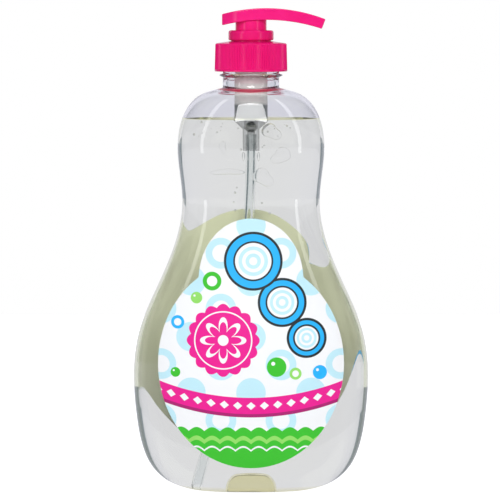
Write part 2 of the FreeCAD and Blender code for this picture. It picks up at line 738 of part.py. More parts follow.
def make_all():
    front_label, back_label = make_labels()
    save(make_bottle(), "bottle")
    save(make_soap(), "liquid_soap")
    save(front_label, "front_label")
    save(back_label, "back_label")
    save(make_closure(), "closure")
    save(make_collar(), "lock_collar")
    save(make_housing(), "housing")
    save(make_gasket(), "neck_gasket")
    save(make_dip_tube(), "dip_tube")
    save(make_ball(), "check_ball")
    save(make_spring(), "spring")
    save(make_stem(), "stem")
    save(make_plug(), "stem_plug")
    save(make_piston(), "piston")
    save(make_head(), "pump_head")


make_all()
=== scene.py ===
"""A clear dish soap bottle with a hot pink lotion pump, dressed for its picture. All sizes are in metres."""
import math
import random

import bmesh
import bpy
import numpy as np
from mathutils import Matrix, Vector


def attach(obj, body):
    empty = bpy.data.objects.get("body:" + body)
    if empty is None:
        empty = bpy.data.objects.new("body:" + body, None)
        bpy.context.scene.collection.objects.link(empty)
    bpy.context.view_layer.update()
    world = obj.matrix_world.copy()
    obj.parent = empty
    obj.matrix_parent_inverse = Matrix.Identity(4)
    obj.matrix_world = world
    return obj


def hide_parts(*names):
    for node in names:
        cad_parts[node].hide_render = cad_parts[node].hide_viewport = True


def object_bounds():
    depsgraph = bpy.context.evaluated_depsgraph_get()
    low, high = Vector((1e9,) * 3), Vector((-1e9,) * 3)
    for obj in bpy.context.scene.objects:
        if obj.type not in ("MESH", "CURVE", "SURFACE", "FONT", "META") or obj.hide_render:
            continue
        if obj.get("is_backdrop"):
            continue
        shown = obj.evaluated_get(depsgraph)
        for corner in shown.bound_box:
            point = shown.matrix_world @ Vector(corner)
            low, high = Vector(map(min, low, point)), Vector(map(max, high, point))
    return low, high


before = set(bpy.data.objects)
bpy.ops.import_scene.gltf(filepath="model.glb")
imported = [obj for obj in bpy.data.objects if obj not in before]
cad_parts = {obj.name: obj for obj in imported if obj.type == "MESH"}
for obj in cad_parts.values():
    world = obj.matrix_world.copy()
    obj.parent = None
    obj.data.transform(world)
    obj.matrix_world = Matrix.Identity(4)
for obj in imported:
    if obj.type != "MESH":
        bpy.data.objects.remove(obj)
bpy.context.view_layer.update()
MM = 0.001

# The camera stands far in front of the bottle and a little above its middle, as in a product picture.
# One pixel of the 500 pixel frame is 0.455 mm wide at the bottle's axis.
PIXEL = 0.455 * MM
CAMERA_DISTANCE = 1.6
CAMERA_RISE = math.radians(4.0)
FRAME_MIDDLE = Vector((-1.0 * PIXEL, 0.0, 0.1095))
SENSOR = 36.0

camera_data = bpy.data.cameras.new("camera")
camera_data.sensor_width = SENSOR
camera_data.lens = SENSOR * CAMERA_DISTANCE / (500 * PIXEL)
camera = bpy.data.objects.new("camera", camera_data)
bpy.context.scene.collection.objects.link(camera)
back_off = Vector((0.0, -math.cos(CAMERA_RISE), math.sin(CAMERA_RISE)))
camera.location = FRAME_MIDDLE + CAMERA_DISTANCE * back_off
camera.rotation_euler = (math.pi / 2 - CAMERA_RISE, 0.0, 0.0)
bpy.context.scene.camera = camera
bpy.context.scene.view_settings.view_transform = "Standard"


# Every finish is a node material. These three helpers make a material, one node of it, and a link's input.
def new_material(name):
    material = bpy.data.materials.new(name)
    material.use_nodes = True
    material.node_tree.nodes.clear()
    output = material.node_tree.nodes.new("ShaderNodeOutputMaterial")
    return material, material.node_tree, output


def node(tree, kind, **inputs):
    """Adds a node and sets its inputs: a plain value, or another node's output to link."""
    made = tree.nodes.new(kind)
    for name, value in inputs.items():
        if name[0] == "i" and name[1:].isdigit():
            socket = made.inputs[int(name[1:])]
        else:
            socket = made.inputs[name.replace("_", " ")]
        if isinstance(value, bpy.types.NodeSocket):
            tree.links.new(value, socket)
        else:
            socket.default_value = value
    return made


def maths(tree, operation, *values):
    """One math node with up to three plain or linked values."""
    made = tree.nodes.new("ShaderNodeMath")
    made.operation = operation
    for place, value in enumerate(values):
        if isinstance(value, bpy.types.NodeSocket):
            tree.links.new(value, made.inputs[place])
        else:
            made.inputs[place].default_value = value
    return made.outputs[0]


# The floor and the backdrop are matt white card. The floor ends at the backdrop, which the camera doesn't see,
# so the white room shows there from each side. Reflections and clear pieces see both a shade darker, as in a
# picture whose background is cleaned to white afterwards.
FLOOR_HALF = 3.0
BACKDROP_HALF_WIDTH = 0.9
BACKDROP_BEHIND = 0.9
BACKDROP_HEIGHT = 2.2
SEEN_IN_CLEAR = (0.80, 0.785, 0.875, 1.0)


def card_finish(name, camera_light, clear_light):
    """White card that is lit as usual, with one plain light for the camera and one for clear or glossy rays."""
    material, tree, output = new_material(name)
    path = node(tree, "ShaderNodeLightPath")
    card = node(tree, "ShaderNodeBsdfDiffuse", Color=(0.9, 0.9, 0.91, 1.0))
    shown = node(tree, "ShaderNodeEmission", Color=(1.0, 1.0, 1.0, 1.0), Strength=camera_light)
    lit = node(tree, "ShaderNodeAddShader", i0=card.outputs[0], i1=shown.outputs[0])
    shade = node(tree, "ShaderNodeEmission", Color=SEEN_IN_CLEAR, Strength=clear_light)
    clear = maths(tree, "MAXIMUM", path.outputs["Is Transmission Ray"], path.outputs["Is Glossy Ray"])
    plain = node(
        tree, "ShaderNodeMixShader", Fac=path.outputs["Is Camera Ray"], i1=card.outputs[0], i2=lit.outputs[0]
    )
    both = node(tree, "ShaderNodeMixShader", Fac=clear, i1=plain.outputs[0], i2=shade.outputs[0])
    tree.links.new(both.outputs[0], output.inputs["Surface"])
    return material


bpy.ops.mesh.primitive_plane_add(size=1, location=(0, (BACKDROP_BEHIND - FLOOR_HALF) / 2, 0))
floor = bpy.context.active_object
floor.name = "floor"
floor.scale = (2 * FLOOR_HALF, FLOOR_HALF + BACKDROP_BEHIND, 1)
floor.data.materials.append(card_finish("floor_card", 0.62, 0.95))
floor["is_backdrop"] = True

bpy.ops.mesh.primitive_plane_add(
    size=1, location=(0, BACKDROP_BEHIND, BACKDROP_HEIGHT / 2), rotation=(math.pi / 2, 0, 0)
)
backdrop = bpy.context.active_object
backdrop.name = "backdrop"
backdrop.scale = (2 * BACKDROP_HALF_WIDTH, BACKDROP_HEIGHT, 1)
backdrop.data.materials.append(card_finish("backdrop_card", 1.0, 1.0))
backdrop.visible_camera = False
backdrop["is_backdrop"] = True

# The room is white where the camera sees it and dim in reflections. Through the clear pieces it is a dark
# blue-grey, which draws the bottle's edges.
world = bpy.data.worlds.new("room")
bpy.context.scene.world = world
world.use_nodes = True
tree = world.node_tree
tree.nodes.clear()
output = tree.nodes.new("ShaderNodeOutputWorld")
path = node(tree, "ShaderNodeLightPath")
dim = node(tree, "ShaderNodeBackground", Color=(0.86, 0.90, 1.0, 1.0), Strength=0.2)
dark = node(tree, "ShaderNodeBackground", Color=(0.55, 0.66, 0.78, 1.0), Strength=0.32)
white = node(tree, "ShaderNodeBackground", Color=(1.0, 1.0, 1.0, 1.0), Strength=1.0)
clear = node(
    tree, "ShaderNodeMixShader", Fac=path.outputs["Is Transmission Ray"], i1=dim.outputs[0], i2=dark.outputs[0]
)
shown = node(
    tree, "ShaderNodeMixShader", Fac=path.outputs["Is Camera Ray"], i1=clear.outputs[0], i2=white.outputs[0]
)
tree.links.new(shown.outputs[0], output.inputs["Surface"])


def soft_box(name, place, aim, width, height, power):
    """One studio lamp with a cloth front, turned to its aim. Clear pieces show it only as a reflection."""
    data = bpy.data.lights.new(name, "AREA")
    data.shape = "RECTANGLE"
    data.size = width
    data.size_y = height
    data.energy = power
    lamp = bpy.data.objects.new(name, data)
    bpy.context.scene.collection.objects.link(lamp)
    lamp.location = place
    direction = Vector(aim) - Vector(place)
    lamp.rotation_euler = direction.to_track_quat("-Z", "Y").to_euler()
    lamp.visible_transmission = False
    return lamp


AIM = (0.0, 0.0, 0.12)
soft_box("left_strip", (-0.80, -0.68, 0.62), AIM, 0.15, 1.3, 1.9)
soft_box("right_strip", (0.80, -0.68, 0.62), AIM, 0.15, 1.3, 1.9)
soft_box("front_fill", (0.0, -1.9, 1.1), AIM, 1.0, 0.8, 26.0)
soft_box("top_box", (0.0, 0.1, 1.3), AIM, 0.7, 0.7, 2.6)


# The bottle is blown in one piece from clear PET: a pear-shaped body with a flat foot, a dome pushed up in the
# middle of its base, a round shoulder, and a moulded neck with a bead under the closure. Its wall is 0.8 mm
# and the neck's wall about 2 mm. Its outline is a smooth curve through these half widths and half depths.
BODY_ROWS = (
    # height, half width, half depth, in millimetres
    (0.0, 23.0, 10.5),
    (0.9, 29.6, 13.8),
    (4.1, 37.9, 18.2),
    (11.4, 45.6, 22.0),
    (22.3, 50.1, 24.0),
    (36.9, 52.5, 24.9),
    (55.0, 53.4, 25.1),
    (73.3, 50.7, 24.5),
    (91.5, 43.4, 23.1),
    (109.7, 35.6, 21.6),
    (131.5, 31.2, 20.6),
    (153.0, 33.2, 21.2),
    (167.0, 32.0, 20.8),
    (175.2, 28.2, 19.2),
    (180.0, 23.0, 17.2),
    (182.1, 17.4, 14.9),
    (183.5, 12.2, 12.2),
)
PUSH_UP_ROWS = (
    # the dome in the base, from its mouth to its flat top
    (-1.0, 15.5, 7.9),
    (0.6, 13.0, 5.7),
    (3.3, 11.5, 5.4),
    (7.1, 9.5, 4.5),
    (9.1, 6.7, 3.2),
    (9.5, 3.5, 1.7),
)
# Each of these rounds a mouth: how far above the flat, and how far out of the dome's side.
MOUTH_ROUND = ((0.42, 0.12), (0.12, 0.45), (0.0, 0.95))
NECK_OUTSIDE = (
    # height and radius, from the shoulder's cove up to the rim
    (183.35, 12.95),
    (183.8, 12.75),
    (187.9, 12.75),
    (188.12, 12.9),
    (188.62, 14.02),
    (188.8, 14.25),
    (189.2, 14.25),
    (189.35, 14.05),
    (189.62, 12.95),
    (189.9, 12.75),
    (199.6, 12.75),
    (199.88, 12.62),
    (200.0, 12.35),
)
NECK_INSIDE = (
    (200.0, 11.15),
    (199.85, 10.92),
    (199.6, 10.8),
    (184.9, 10.8),
    (184.0, 10.88),
    (183.3, 11.25),
)
WALL = 0.8
FULLNESS = 0.03
ROUND_FROM = 183.1
ROUND_BLEND = 22.0
NECK_RADIUS = 12.75
RING_POINTS = 176
STEPS = 8
FILL_Z = 169.0
MENISCUS = 0.5


def moved_rows(rows, offset):
    """The rows, each moved outwards along the outline's normal."""
    moved = []
    for place, (height, wide, deep) in enumerate(rows):
        before = rows[max(place - 1, 0)]
        after = rows[min(place + 1, len(rows) - 1)]
        rise = after[0] - before[0]
        widen = (after[1] + after[2] - before[1] - before[2]) / 2
        length = math.hypot(rise, widen)
        radial = rise / length if place else 0.0
        upward = -widen / length if place else -1.0
        if place == len(rows) - 1:
            radial, upward = last
        last = (radial, upward)
        moved.append((height + offset * upward, wide + offset * radial, deep + offset * radial))
    return moved


def smooth_rows(rows, offset, start, steps=STEPS):
    """Rows along a smooth outline: a cubic spline through the moved rows that starts in a given direction."""
    points = np.array(moved_rows(rows, offset))
    chords = [0.0]
    for before, after in zip(rows, rows[1:]):
        chords.append(chords[-1] + math.hypot(after[0] - before[0], after[1] - before[1]))
    count = len(points)
    end = np.array(rows[-1], float) - np.array(rows[-2], float)
    system = np.zeros((count, count))
    wanted = np.zeros((count, 3))
    system[0, 0] = 1.0
    wanted[0] = np.array(start) / np.linalg.norm(start)
    system[-1, -1] = 1.0
    wanted[-1] = end / np.linalg.norm(end)
    for place in range(1, count - 1):
        left = chords[place] - chords[place - 1]
        right = chords[place + 1] - chords[place]
        system[place, place - 1] = right
        system[place, place] = 2 * (left + right)
        system[place, place + 1] = left
        rise_before = (points[place] - points[place - 1]) / left
        rise_after = (points[place + 1] - points[place]) / right
        wanted[place] = 3 * (right * rise_before + left * rise_after)
    slopes = np.linalg.solve(system, wanted)
    fine = []
    for place in range(count - 1):
        span = chords[place + 1] - chords[place]
        for step in range(steps):
            t = step / steps
            start_share = 2 * t ** 3 - 3 * t ** 2 + 1
            start_slope = t ** 3 - 2 * t ** 2 + t
            end_share = 3 * t ** 2 - 2 * t ** 3
            end_slope = t ** 3 - t ** 2
            point = start_share * points[place] + start_slope * span * slopes[place]
            point = point + end_share * points[place + 1] + end_slope * span * slopes[place + 1]
            fine.append(tuple(float(value) for value in point))
    fine.append(tuple(float(value) for value in points[-1]))
    return fine


def body_rows(offset, steps=STEPS):
    """The body's side from the foot's inner edge up to the neck, moved outwards by offset."""
    return smooth_rows(BODY_ROWS, offset, (0.0, 1.0, BODY_ROWS[0][2] / BODY_ROWS[0][1]), steps)


def dome_rows(offset, flat):
    """The push-up from its closed top down to its rounded mouth in the flat of the base."""
    side = smooth_rows(PUSH_UP_ROWS, offset, (1.0, -0.6, -0.6))
    side = [row for row in side if row[0] > flat + 0.9]
    top = side[-1]
    rows = [(top[0] + 0.02, top[1] * share, top[2] * share) for share in (0.05, 0.35, 0.7)]
    rows += side[::-1]
    low = rows[-1]
    rows += [(flat + up, low[1] + 0.1 + out, low[2] + 0.1 + out) for up, out in MOUTH_ROUND]
    return rows


def fullness_at(height):
    return FULLNESS * min(max((ROUND_FROM - height) / ROUND_BLEND, 0.0), 1.0)


def oval_point(row, angle):
    """A point of the oval section at one row."""
    height, wide, deep = row
    full = fullness_at(height)
    grow = 1 / (1 - full)
    across = (math.cos(angle) - full * math.cos(3 * angle)) * grow
    through = (math.sin(angle) + full * math.sin(3 * angle)) * grow
    return Vector((wide * across * MM, deep * through * MM, height * MM))


def stack_of_rings(name, rows, points=RING_POINTS):
    """A closed skin: a circle takes the shape of the first row and is extruded from row to row.

    Each face keeps the number of its row in the attribute "row".
    """
    bpy.ops.object.select_all(action="DESELECT")
    bpy.ops.mesh.primitive_circle_add(vertices=points, radius=1.0, location=(0, 0, 0))
    made = bpy.context.active_object
    made.name = name
    bpy.ops.object.mode_set(mode="EDIT")
    mesh = bmesh.from_edit_mesh(made.data)
    turn = mesh.verts.layers.float.new("turn")
    numbers = mesh.faces.layers.int.new("row")
    for vertex in mesh.verts:
        vertex[turn] = math.atan2(vertex.co.y, vertex.co.x)
        vertex.co = oval_point(rows[0], vertex[turn])
    bmesh.update_edit_mesh(made.data)
    for number, row in enumerate(rows[1:]):
        bpy.ops.mesh.extrude_edges_move()
        mesh = bmesh.from_edit_mesh(made.data)
        turn = mesh.verts.layers.float["turn"]
        numbers = mesh.faces.layers.int["row"]
        for vertex in mesh.verts:
            if vertex.select:
                vertex.co = oval_point(row, vertex[turn])
                for face in vertex.link_faces:
                    face[numbers] = number
        bmesh.update_edit_mesh(made.data)
    # Both ends close in a point, and the faces are turned to look outwards.
    for row in (rows[0], rows[-1]):
        bpy.ops.mesh.select_all(action="DESELECT")
        mesh = bmesh.from_edit_mesh(made.data)
        turn = mesh.verts.layers.float["turn"]
        for vertex in mesh.verts:
            if (vertex.co - oval_point(row, vertex[turn])).length < 1e-8:
                vertex.select_set(True)
        mesh.select_flush(True)
        bmesh.update_edit_mesh(made.data)
        bpy.ops.mesh.merge(type="CENTER")
    bpy.ops.mesh.select_all(action="SELECT")
    bpy.ops.mesh.normals_make_consistent(inside=False)
    bpy.ops.object.mode_set(mode="OBJECT")
    made.data.attributes.remove(made.data.attributes["turn"])
    bpy.ops.object.shade_smooth_by_angle(angle=math.radians(40))
    return made


def with_row_at(rows, height):
    """The same rows with one more at a height, on the line between its neighbours."""
    split = []
    for before, after in zip(rows, rows[1:]):
        split.append(before)
        if (before[0] - height) * (after[0] - height) < 0:
            share = (height - before[0]) / (after[0] - before[0])
            split.append(tuple(a + share * (b - a) for a, b in zip(before, after)))
    return split + [rows[-1]]


def circles(pairs):
    return [(height, radius, radius) for height, radius in pairs]


outside = dome_rows(0.0, 0.0) + [row for row in body_rows(0.0) if row[0] < 182.8]
outside += [(183.0, 13.6, 13.45)] + circles(NECK_OUTSIDE)
inside = circles(NECK_INSIDE) + [(182.8, 12.1, 11.95)]
inside += [row for row in body_rows(-WALL)[::-1] if row[0] < 182.4]
inside += dome_rows(WALL, WALL)[::-1]
wet_line = FILL_Z + MENISCUS
inside = with_row_at(inside, wet_line)
bottle = stack_of_rings("bottle_shell", outside + inside)
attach(bottle, "bottle")
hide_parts("bottle")

# Clear PET bends light, and lamp light passes it unbent so that what is inside is lit. The blown wall is never
# quite even, which a slow ripple shows. Where soap wets the wall, only the step from soap to PET bends the light.
PET_IOR = 1.57
SOAP_IOR = 1.36


def clear_finish(name, colour, ior, roughness=0.0, ripple=0.0, ripple_scale=60.0):
    """A clear finish that lets lamp light through."""
    material, tree, output = new_material(name)
    glass = node(tree, "ShaderNodeBsdfGlass", Color=colour, Roughness=roughness, IOR=ior)
    glass.name = "glass"
    if ripple:
        coords = node(tree, "ShaderNodeTexCoord")
        waves = node(
            tree, "ShaderNodeTexNoise", Vector=coords.outputs["Object"], Scale=ripple_scale, Detail=1.0
        )
        bump = node(tree, "ShaderNodeBump", Strength=ripple, Distance=0.0004, Height=waves.outputs[0])
        tree.links.new(bump.outputs[0], glass.inputs["Normal"])
    through = node(tree, "ShaderNodeBsdfTransparent", Color=colour)
    path = node(tree, "ShaderNodeLightPath")
    unbent = maths(tree, "MAXIMUM", path.outputs["Is Shadow Ray"], path.outputs["Is Diffuse Ray"])
    both = node(tree, "ShaderNodeMixShader", Fac=unbent, i1=glass.outputs[0], i2=through.outputs[0])
    tree.links.new(both.outputs[0], output.inputs["Surface"])
    return material


# The clear wall has a painted reflection of the closure's pink as a ring at the neck's root, and a painted
# reflection of the soap's yellow in its foot.
PAINTED_CAP_REFLECTION = (0.62, 0.012, 0.075, 1.0)
PAINTED_REFLECTION_RING = (13.2, 15.6)
PAINTED_REFLECTION_HEIGHTS = (179.8, 184.0)
PAINTED_FOOT_REFLECTION = (0.90, 0.88, 0.62, 1.0)
PAINTED_FOOT_REFLECTION_TO = 3.2
PET_TINT = (0.985, 0.99, 0.99, 1.0)
pet = clear_finish("clear_pet", PET_TINT, PET_IOR, ripple=0.25)
tree = pet.node_tree
coords = node(tree, "ShaderNodeTexCoord")
split = node(tree, "ShaderNodeSeparateXYZ", Vector=coords.outputs["Object"])
flat = node(tree, "ShaderNodeCombineXYZ", X=split.outputs["X"], Y=split.outputs["Y"], Z=0.0)
length = tree.nodes.new("ShaderNodeVectorMath")
length.operation = "LENGTH"
tree.links.new(flat.outputs[0], length.inputs[0])
radius = maths(tree, "MULTIPLY", length.outputs["Value"], 1 / MM)
height = maths(tree, "MULTIPLY", split.outputs["Z"], 1 / MM)
painted_reflection_mask = None
# Mask of the painted pink reflection: a ring between two radii and two heights, with soft edges.
for value, start, rise in (
    (radius, PAINTED_REFLECTION_RING[0], 0.5),
    (radius, PAINTED_REFLECTION_RING[1], -0.8),
    (height, PAINTED_REFLECTION_HEIGHTS[0], 0.6),
    (height, PAINTED_REFLECTION_HEIGHTS[1], -0.5),
):
    edge = maths(tree, "MULTIPLY_ADD", value, 1 / rise, -start / rise)
    edge.node.use_clamp = True
    painted_reflection_mask = edge if painted_reflection_mask is None else maths(tree, "MULTIPLY", painted_reflection_mask, edge)
# The painted reflection of the pink closure, mixed into the clear wall's shader.
painted_pink_reflection = node(tree, "ShaderNodeBsdfPrincipled", Base_Color=PAINTED_CAP_REFLECTION, Roughness=0.35)
output = next(found for found in tree.nodes if found.bl_idname == "ShaderNodeOutputMaterial")
plain = output.inputs["Surface"].links[0].from_socket
with_painted_reflection = node(
    tree, "ShaderNodeMixShader", Fac=maths(tree, "MULTIPLY", painted_reflection_mask, 0.8), i1=plain, i2=painted_pink_reflection.outputs[0]
)
tree.links.new(with_painted_reflection.outputs[0], output.inputs["Surface"])
# Painted reflection of the soap's yellow: the clear wall's colour turns pale yellow towards the bottom of the
# foot.
low = maths(tree, "MULTIPLY_ADD", height, -1 / PAINTED_FOOT_REFLECTION_TO, 1.0)
low.node.use_clamp = True
foot_painted_reflection = node(tree, "ShaderNodeMix")
foot_painted_reflection.data_type = "RGBA"
tree.links.new(low, foot_painted_reflection.inputs["Factor"])
foot_painted_reflection.inputs[6].default_value = PET_TINT
foot_painted_reflection.inputs[7].default_value = PAINTED_FOOT_REFLECTION
tree.links.new(foot_painted_reflection.outputs[2], tree.nodes["glass"].inputs["Color"])
bottle.data.materials.append(pet)
bottle.data.materials.append(
    clear_finish("soap_wetted_pet", (0.99, 0.995, 0.985, 1.0), PET_IOR / SOAP_IOR, ripple=0.5, ripple_scale=75.0)
)
# The dome in the base is thicker and yellower, and is seen through much soap.
DOME_TINT = (0.955, 0.945, 0.835, 1.0)
bottle.data.materials.append(clear_finish("dome_pet", DOME_TINT, 1.05, ripple=0.6, ripple_scale=120.0))
row_of_face = bottle.data.attributes["row"].data
dome_count = len(dome_rows(0.0, 0.0))
for face in bottle.data.polygons:
    row = row_of_face[face.index].value
    if row >= len(outside) and face.center.z < wet_line * MM:
        face.material_index = 1
    if row < dome_count - 2 or row > len(outside + inside) - dome_count:
        face.material_index = 2

# The screw thread on the neck is one ridge with a lead of 4.233 mm, which runs a turn and a quarter and fades
# at both ends. It is moulded on the neck above the bead.
THREAD_LEAD = 4.233
THREAD_STEPS = 96


def screw_ridge(name, root, crest, start_z, start_turn, turns, half_root, half_crest):
    """A ridge with sloping sides is extruded along its screw line, thin at its ends."""
    bpy.ops.object.select_all(action="DESELECT")
    bpy.ops.mesh.primitive_plane_add(size=1, location=(0, 0, 0))
    made = bpy.context.active_object
    made.name = name
    bpy.ops.object.mode_set(mode="EDIT")
    mesh = bmesh.from_edit_mesh(made.data)
    corner = mesh.verts.layers.int.new("corner")
    for vertex in mesh.verts:
        vertex[corner] = (2 if vertex.co.x > 0 else 0) + (1 if vertex.co.y > 0 else 0)
    bmesh.update_edit_mesh(made.data)
    total = round(THREAD_STEPS * turns)
    for step in range(total + 1):
        if step:
            bpy.ops.mesh.extrude_region_move()
        share = step / total
        fade = min(1.0, share * turns / 0.12, (1 - share) * turns / 0.12)
        turn = math.tau * (start_turn + turns * share)
        height = start_z + THREAD_LEAD * turns * share
        mesh = bmesh.from_edit_mesh(made.data)
        corner = mesh.verts.layers.int["corner"]
        for vertex in mesh.verts:
            if vertex.select:
                out = vertex[corner] // 2
                side = 1 if vertex[corner] % 2 else -1
                radius = root + (crest - root) * out * max(fade, 0.04)
                half = half_crest if out else half_root
                ridge_z = height + side * half * max(fade, 0.2)
                place = (radius * math.cos(turn), radius * math.sin(turn), ridge_z)
                vertex.co = Vector(place) * MM
        bmesh.update_edit_mesh(made.data)
    bpy.ops.mesh.select_all(action="SELECT")
    bpy.ops.mesh.normals_make_consistent(inside=False)
    bpy.ops.object.mode_set(mode="OBJECT")
    made.data.attributes.remove(made.data.attributes["corner"])
    soften = made.modifiers.new("soften", "BEVEL")
    soften.width = 0.12 * MM
    soften.segments = 2
    bpy.ops.object.modifier_apply(modifier="soften")
    bpy.ops.object.shade_smooth_by_angle(angle=math.radians(40))
    return made


neck_thread = screw_ridge("neck_thread", NECK_RADIUS - 0.05, 13.8, 193.4, 0.0, 1.25, 1.1, 0.45)
neck_thread.data.materials.append(bottle.data.materials[0])
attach(neck_thread, "bottle")


# The soap is a clear, faintly yellow liquid. It fills the bottle to the shoulder, climbs the wall and the pump
# a little, and only its open surface bends light: its sides meet the wetted wall and the pump parts in it.
WET_GAP = 0.05
SOAP_ROWS_CUT = FILL_Z - 0.4
soap_wall = [row for row in body_rows(-WALL - WET_GAP) if row[0] < SOAP_ROWS_CUT]
fine_wall = body_rows(-WALL - WET_GAP, 24)


def wall_at(height):
    """The soap's outline at a height, between two fine rows."""
    for before, after in zip(fine_wall, fine_wall[1:]):
        if before[0] <= height < after[0]:
            share = (height - before[0]) / (after[0] - before[0])
            return tuple(a + share * (b - a) for a, b in zip(before, after))
    return fine_wall[-1]


top_edge = wall_at(FILL_Z + MENISCUS)
surface = [wall_at(FILL_Z), wall_at(FILL_Z + 0.5 * MENISCUS), top_edge]
for inset, lift in ((0.25, 0.62), (0.7, 0.36), (1.4, 0.16), (2.6, 0.04), (4.0, 0.0)):
    surface.append((FILL_Z + lift * MENISCUS, top_edge[1] - inset, top_edge[2] - inset))
surface += [(FILL_Z, 15.0, 13.0), (FILL_Z, 10.5, 10.4), (FILL_Z + 0.05, 9.4, 9.4), (FILL_Z + 0.2, 8.5, 8.5)]
surface += [(FILL_Z + 0.6, 7.9, 7.9), (FILL_Z + 0.9, 7.62, 7.62)]
down = [(168.0, 7.6, 7.6), (164.1, 3.6, 3.6), (154.9, 3.6, 3.6), (154.9, 0.5, 0.5)]
soap_outline = dome_rows(WALL + WET_GAP, WALL + WET_GAP) + soap_wall + surface + down
soap = stack_of_rings("soap_fill", soap_outline)
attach(soap, "bottle")
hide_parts("liquid_soap")
open_surface = soap.data.attributes.new("open_surface", "FLOAT", "FACE")
for face in soap.data.polygons:
    middle = face.center / MM
    is_open = middle.z > FILL_Z - 0.01 and face.normal.z > 0.25
    open_surface.data[face.index].value = 1.0 if is_open else 0.0

material, tree, output = new_material("dish_soap")
coords = node(tree, "ShaderNodeTexCoord")
waves = node(tree, "ShaderNodeTexNoise", Vector=coords.outputs["Object"], Scale=90.0, Detail=1.0)
bump = node(tree, "ShaderNodeBump", Strength=0.08, Distance=0.0004, Height=waves.outputs[0])
glass = node(tree, "ShaderNodeBsdfGlass", Color=(0.97, 0.96, 0.80, 1.0), IOR=SOAP_IOR, Normal=bump.outputs[0])
through = node(tree, "ShaderNodeBsdfTransparent", Color=(1.0, 1.0, 1.0, 1.0))
skin = node(tree, "ShaderNodeAttribute")
skin.attribute_name = "open_surface"
path = node(tree, "ShaderNodeLightPath")
unbent = maths(tree, "MAXIMUM", path.outputs["Is Shadow Ray"], path.outputs["Is Diffuse Ray"])
bends = maths(tree, "MULTIPLY", skin.outputs["Fac"], maths(tree, "SUBTRACT", 1.0, unbent))
both = node(tree, "ShaderNodeMixShader", Fac=bends, i1=through.outputs[0], i2=glass.outputs[0])
tree.links.new(both.outputs[0], output.inputs["Surface"])
tint = node(tree, "ShaderNodeVolumeAbsorption", Color=(0.95, 0.97, 0.72, 1.0), Density=9.0)
tree.links.new(tint.outputs[0], output.inputs["Volume"])
soap.data.materials.append(material)


# Air is caught in the thick soap: thin flat pockets just behind the front wall, two at the dip tube's socket,
# and small round bubbles under the surface and beside the tube.
AIR_IOR = 1 / SOAP_IOR
POCKETS = (
    # x, y, height, half width, half depth, half height; a y of None lies just behind the front wall
    (9.0, None, 164.0, 3.9, 0.45, 3.5),
    (13.4, None, 153.2, 4.4, 0.4, 3.2),
    (5.2, None, 143.6, 4.4, 0.4, 3.8),
    (-10.2, None, 146.0, 6.4, 0.3, 1.5),
    (-12.5, None, 157.0, 1.6, 0.25, 2.4),
    (-3.2, -0.6, 152.4, 0.6, 0.6, 2.0),
    (3.2, -0.6, 152.4, 0.6, 0.6, 2.0),
)
BUBBLES = 34
skin_rows = body_rows(-WALL, 24)
skin_heights = [row[0] for row in skin_rows]
skin_depths = [row[2] for row in skin_rows]
air = clear_finish("air_in_soap", (1.0, 1.0, 1.0, 1.0), AIR_IOR)
chance = random.Random(11)


def behind_front(x, height, clear):
    """A y place that much behind the front wall's inner side."""
    deep = float(np.interp(height, skin_heights, skin_depths))
    wide = float(np.interp(height, skin_heights, [row[1] for row in skin_rows]))
    return -deep * math.sqrt(max(1 - (x / wide) ** 2, 0.0)) + clear


for place, (x, y, height, wide, deep, tall) in enumerate(POCKETS):
    bpy.ops.object.select_all(action="DESELECT")
    bpy.ops.mesh.primitive_uv_sphere_add(segments=44, ring_count=22, radius=1.0, location=(0, 0, 0))
    pocket = bpy.context.active_object
    pocket.name = f"air_pocket_{place + 1}"
    first, second = chance.uniform(0, math.tau), chance.uniform(0, math.tau)
    uneven = 0.0 if y is not None else 1.0
    bpy.ops.object.mode_set(mode="EDIT")
    mesh = bmesh.from_edit_mesh(pocket.data)
    for vertex in mesh.verts:
        angle = math.atan2(vertex.co.z, vertex.co.x)
        swell = 1 + uneven * (0.20 * math.sin(2 * angle + first) + 0.13 * math.sin(3 * angle + second))
        px = x + vertex.co.x * wide * swell
        pz = height + vertex.co.z * tall * swell
        middle = y if y is not None else behind_front(px, pz, 0.5 + deep)
        vertex.co = Vector((px, middle + vertex.co.y * deep, pz)) * MM
    bmesh.update_edit_mesh(pocket.data)
    bpy.ops.object.mode_set(mode="OBJECT")
    bpy.ops.object.shade_smooth()
    pocket.data.materials.append(air)
    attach(pocket, "bottle")

bpy.ops.object.select_all(action="DESELECT")
rounds = []
for place in range(BUBBLES):
    size = chance.uniform(0.18, 0.5)
    if place % 3:
        x = chance.uniform(-25, 25)
        height = FILL_Z - chance.uniform(0.9, 7.5)
        y = behind_front(x, height, 0.4 + size)
    else:
        x = chance.choice((-1, 1)) * chance.uniform(3.4, 8.0)
        height = chance.uniform(126, 158)
        y = -chance.uniform(4.5, 12)
    bpy.ops.mesh.primitive_ico_sphere_add(
        subdivisions=3, radius=size * MM, location=(x * MM, y * MM, height * MM)
    )
    rounds.append(bpy.context.active_object)
for found in rounds:
    found.select_set(True)
bpy.ops.object.join()
bpy.ops.object.transform_apply(location=True, rotation=True, scale=True)
bubbles = bpy.context.active_object
bubbles.name = "air_bubbles"
bpy.ops.object.shade_smooth()
bubbles.data.materials.append(air)
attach(bubbles, "bottle")


# The labels are two thin printed films glued to the front and the back of the body. Each has the outline of
# a wide oval with a smaller oval standing on it. The print is a plain pattern of plates, bubbles and bands.
LABEL_OVALS = ((59.6, 41.9, 47.1), (97.8, 23.5, 27.3))
PRINT_EDGE = 0.12
WHITE = (0.93, 0.94, 0.95, 1.0)
PALE_BLUE = (0.55, 0.84, 0.93, 1.0)
HOT_PINK = (0.86, 0.007, 0.29, 1.0)
DEEP_PINK = (0.42, 0.010, 0.16, 1.0)
SKY_BLUE = (0.015, 0.46, 0.95, 1.0)
INK = (0.016, 0.024, 0.026, 1.0)
GREEN = (0.045, 0.55, 0.025, 1.0)
LIGHT_GREEN = (0.30, 0.74, 0.14, 1.0)


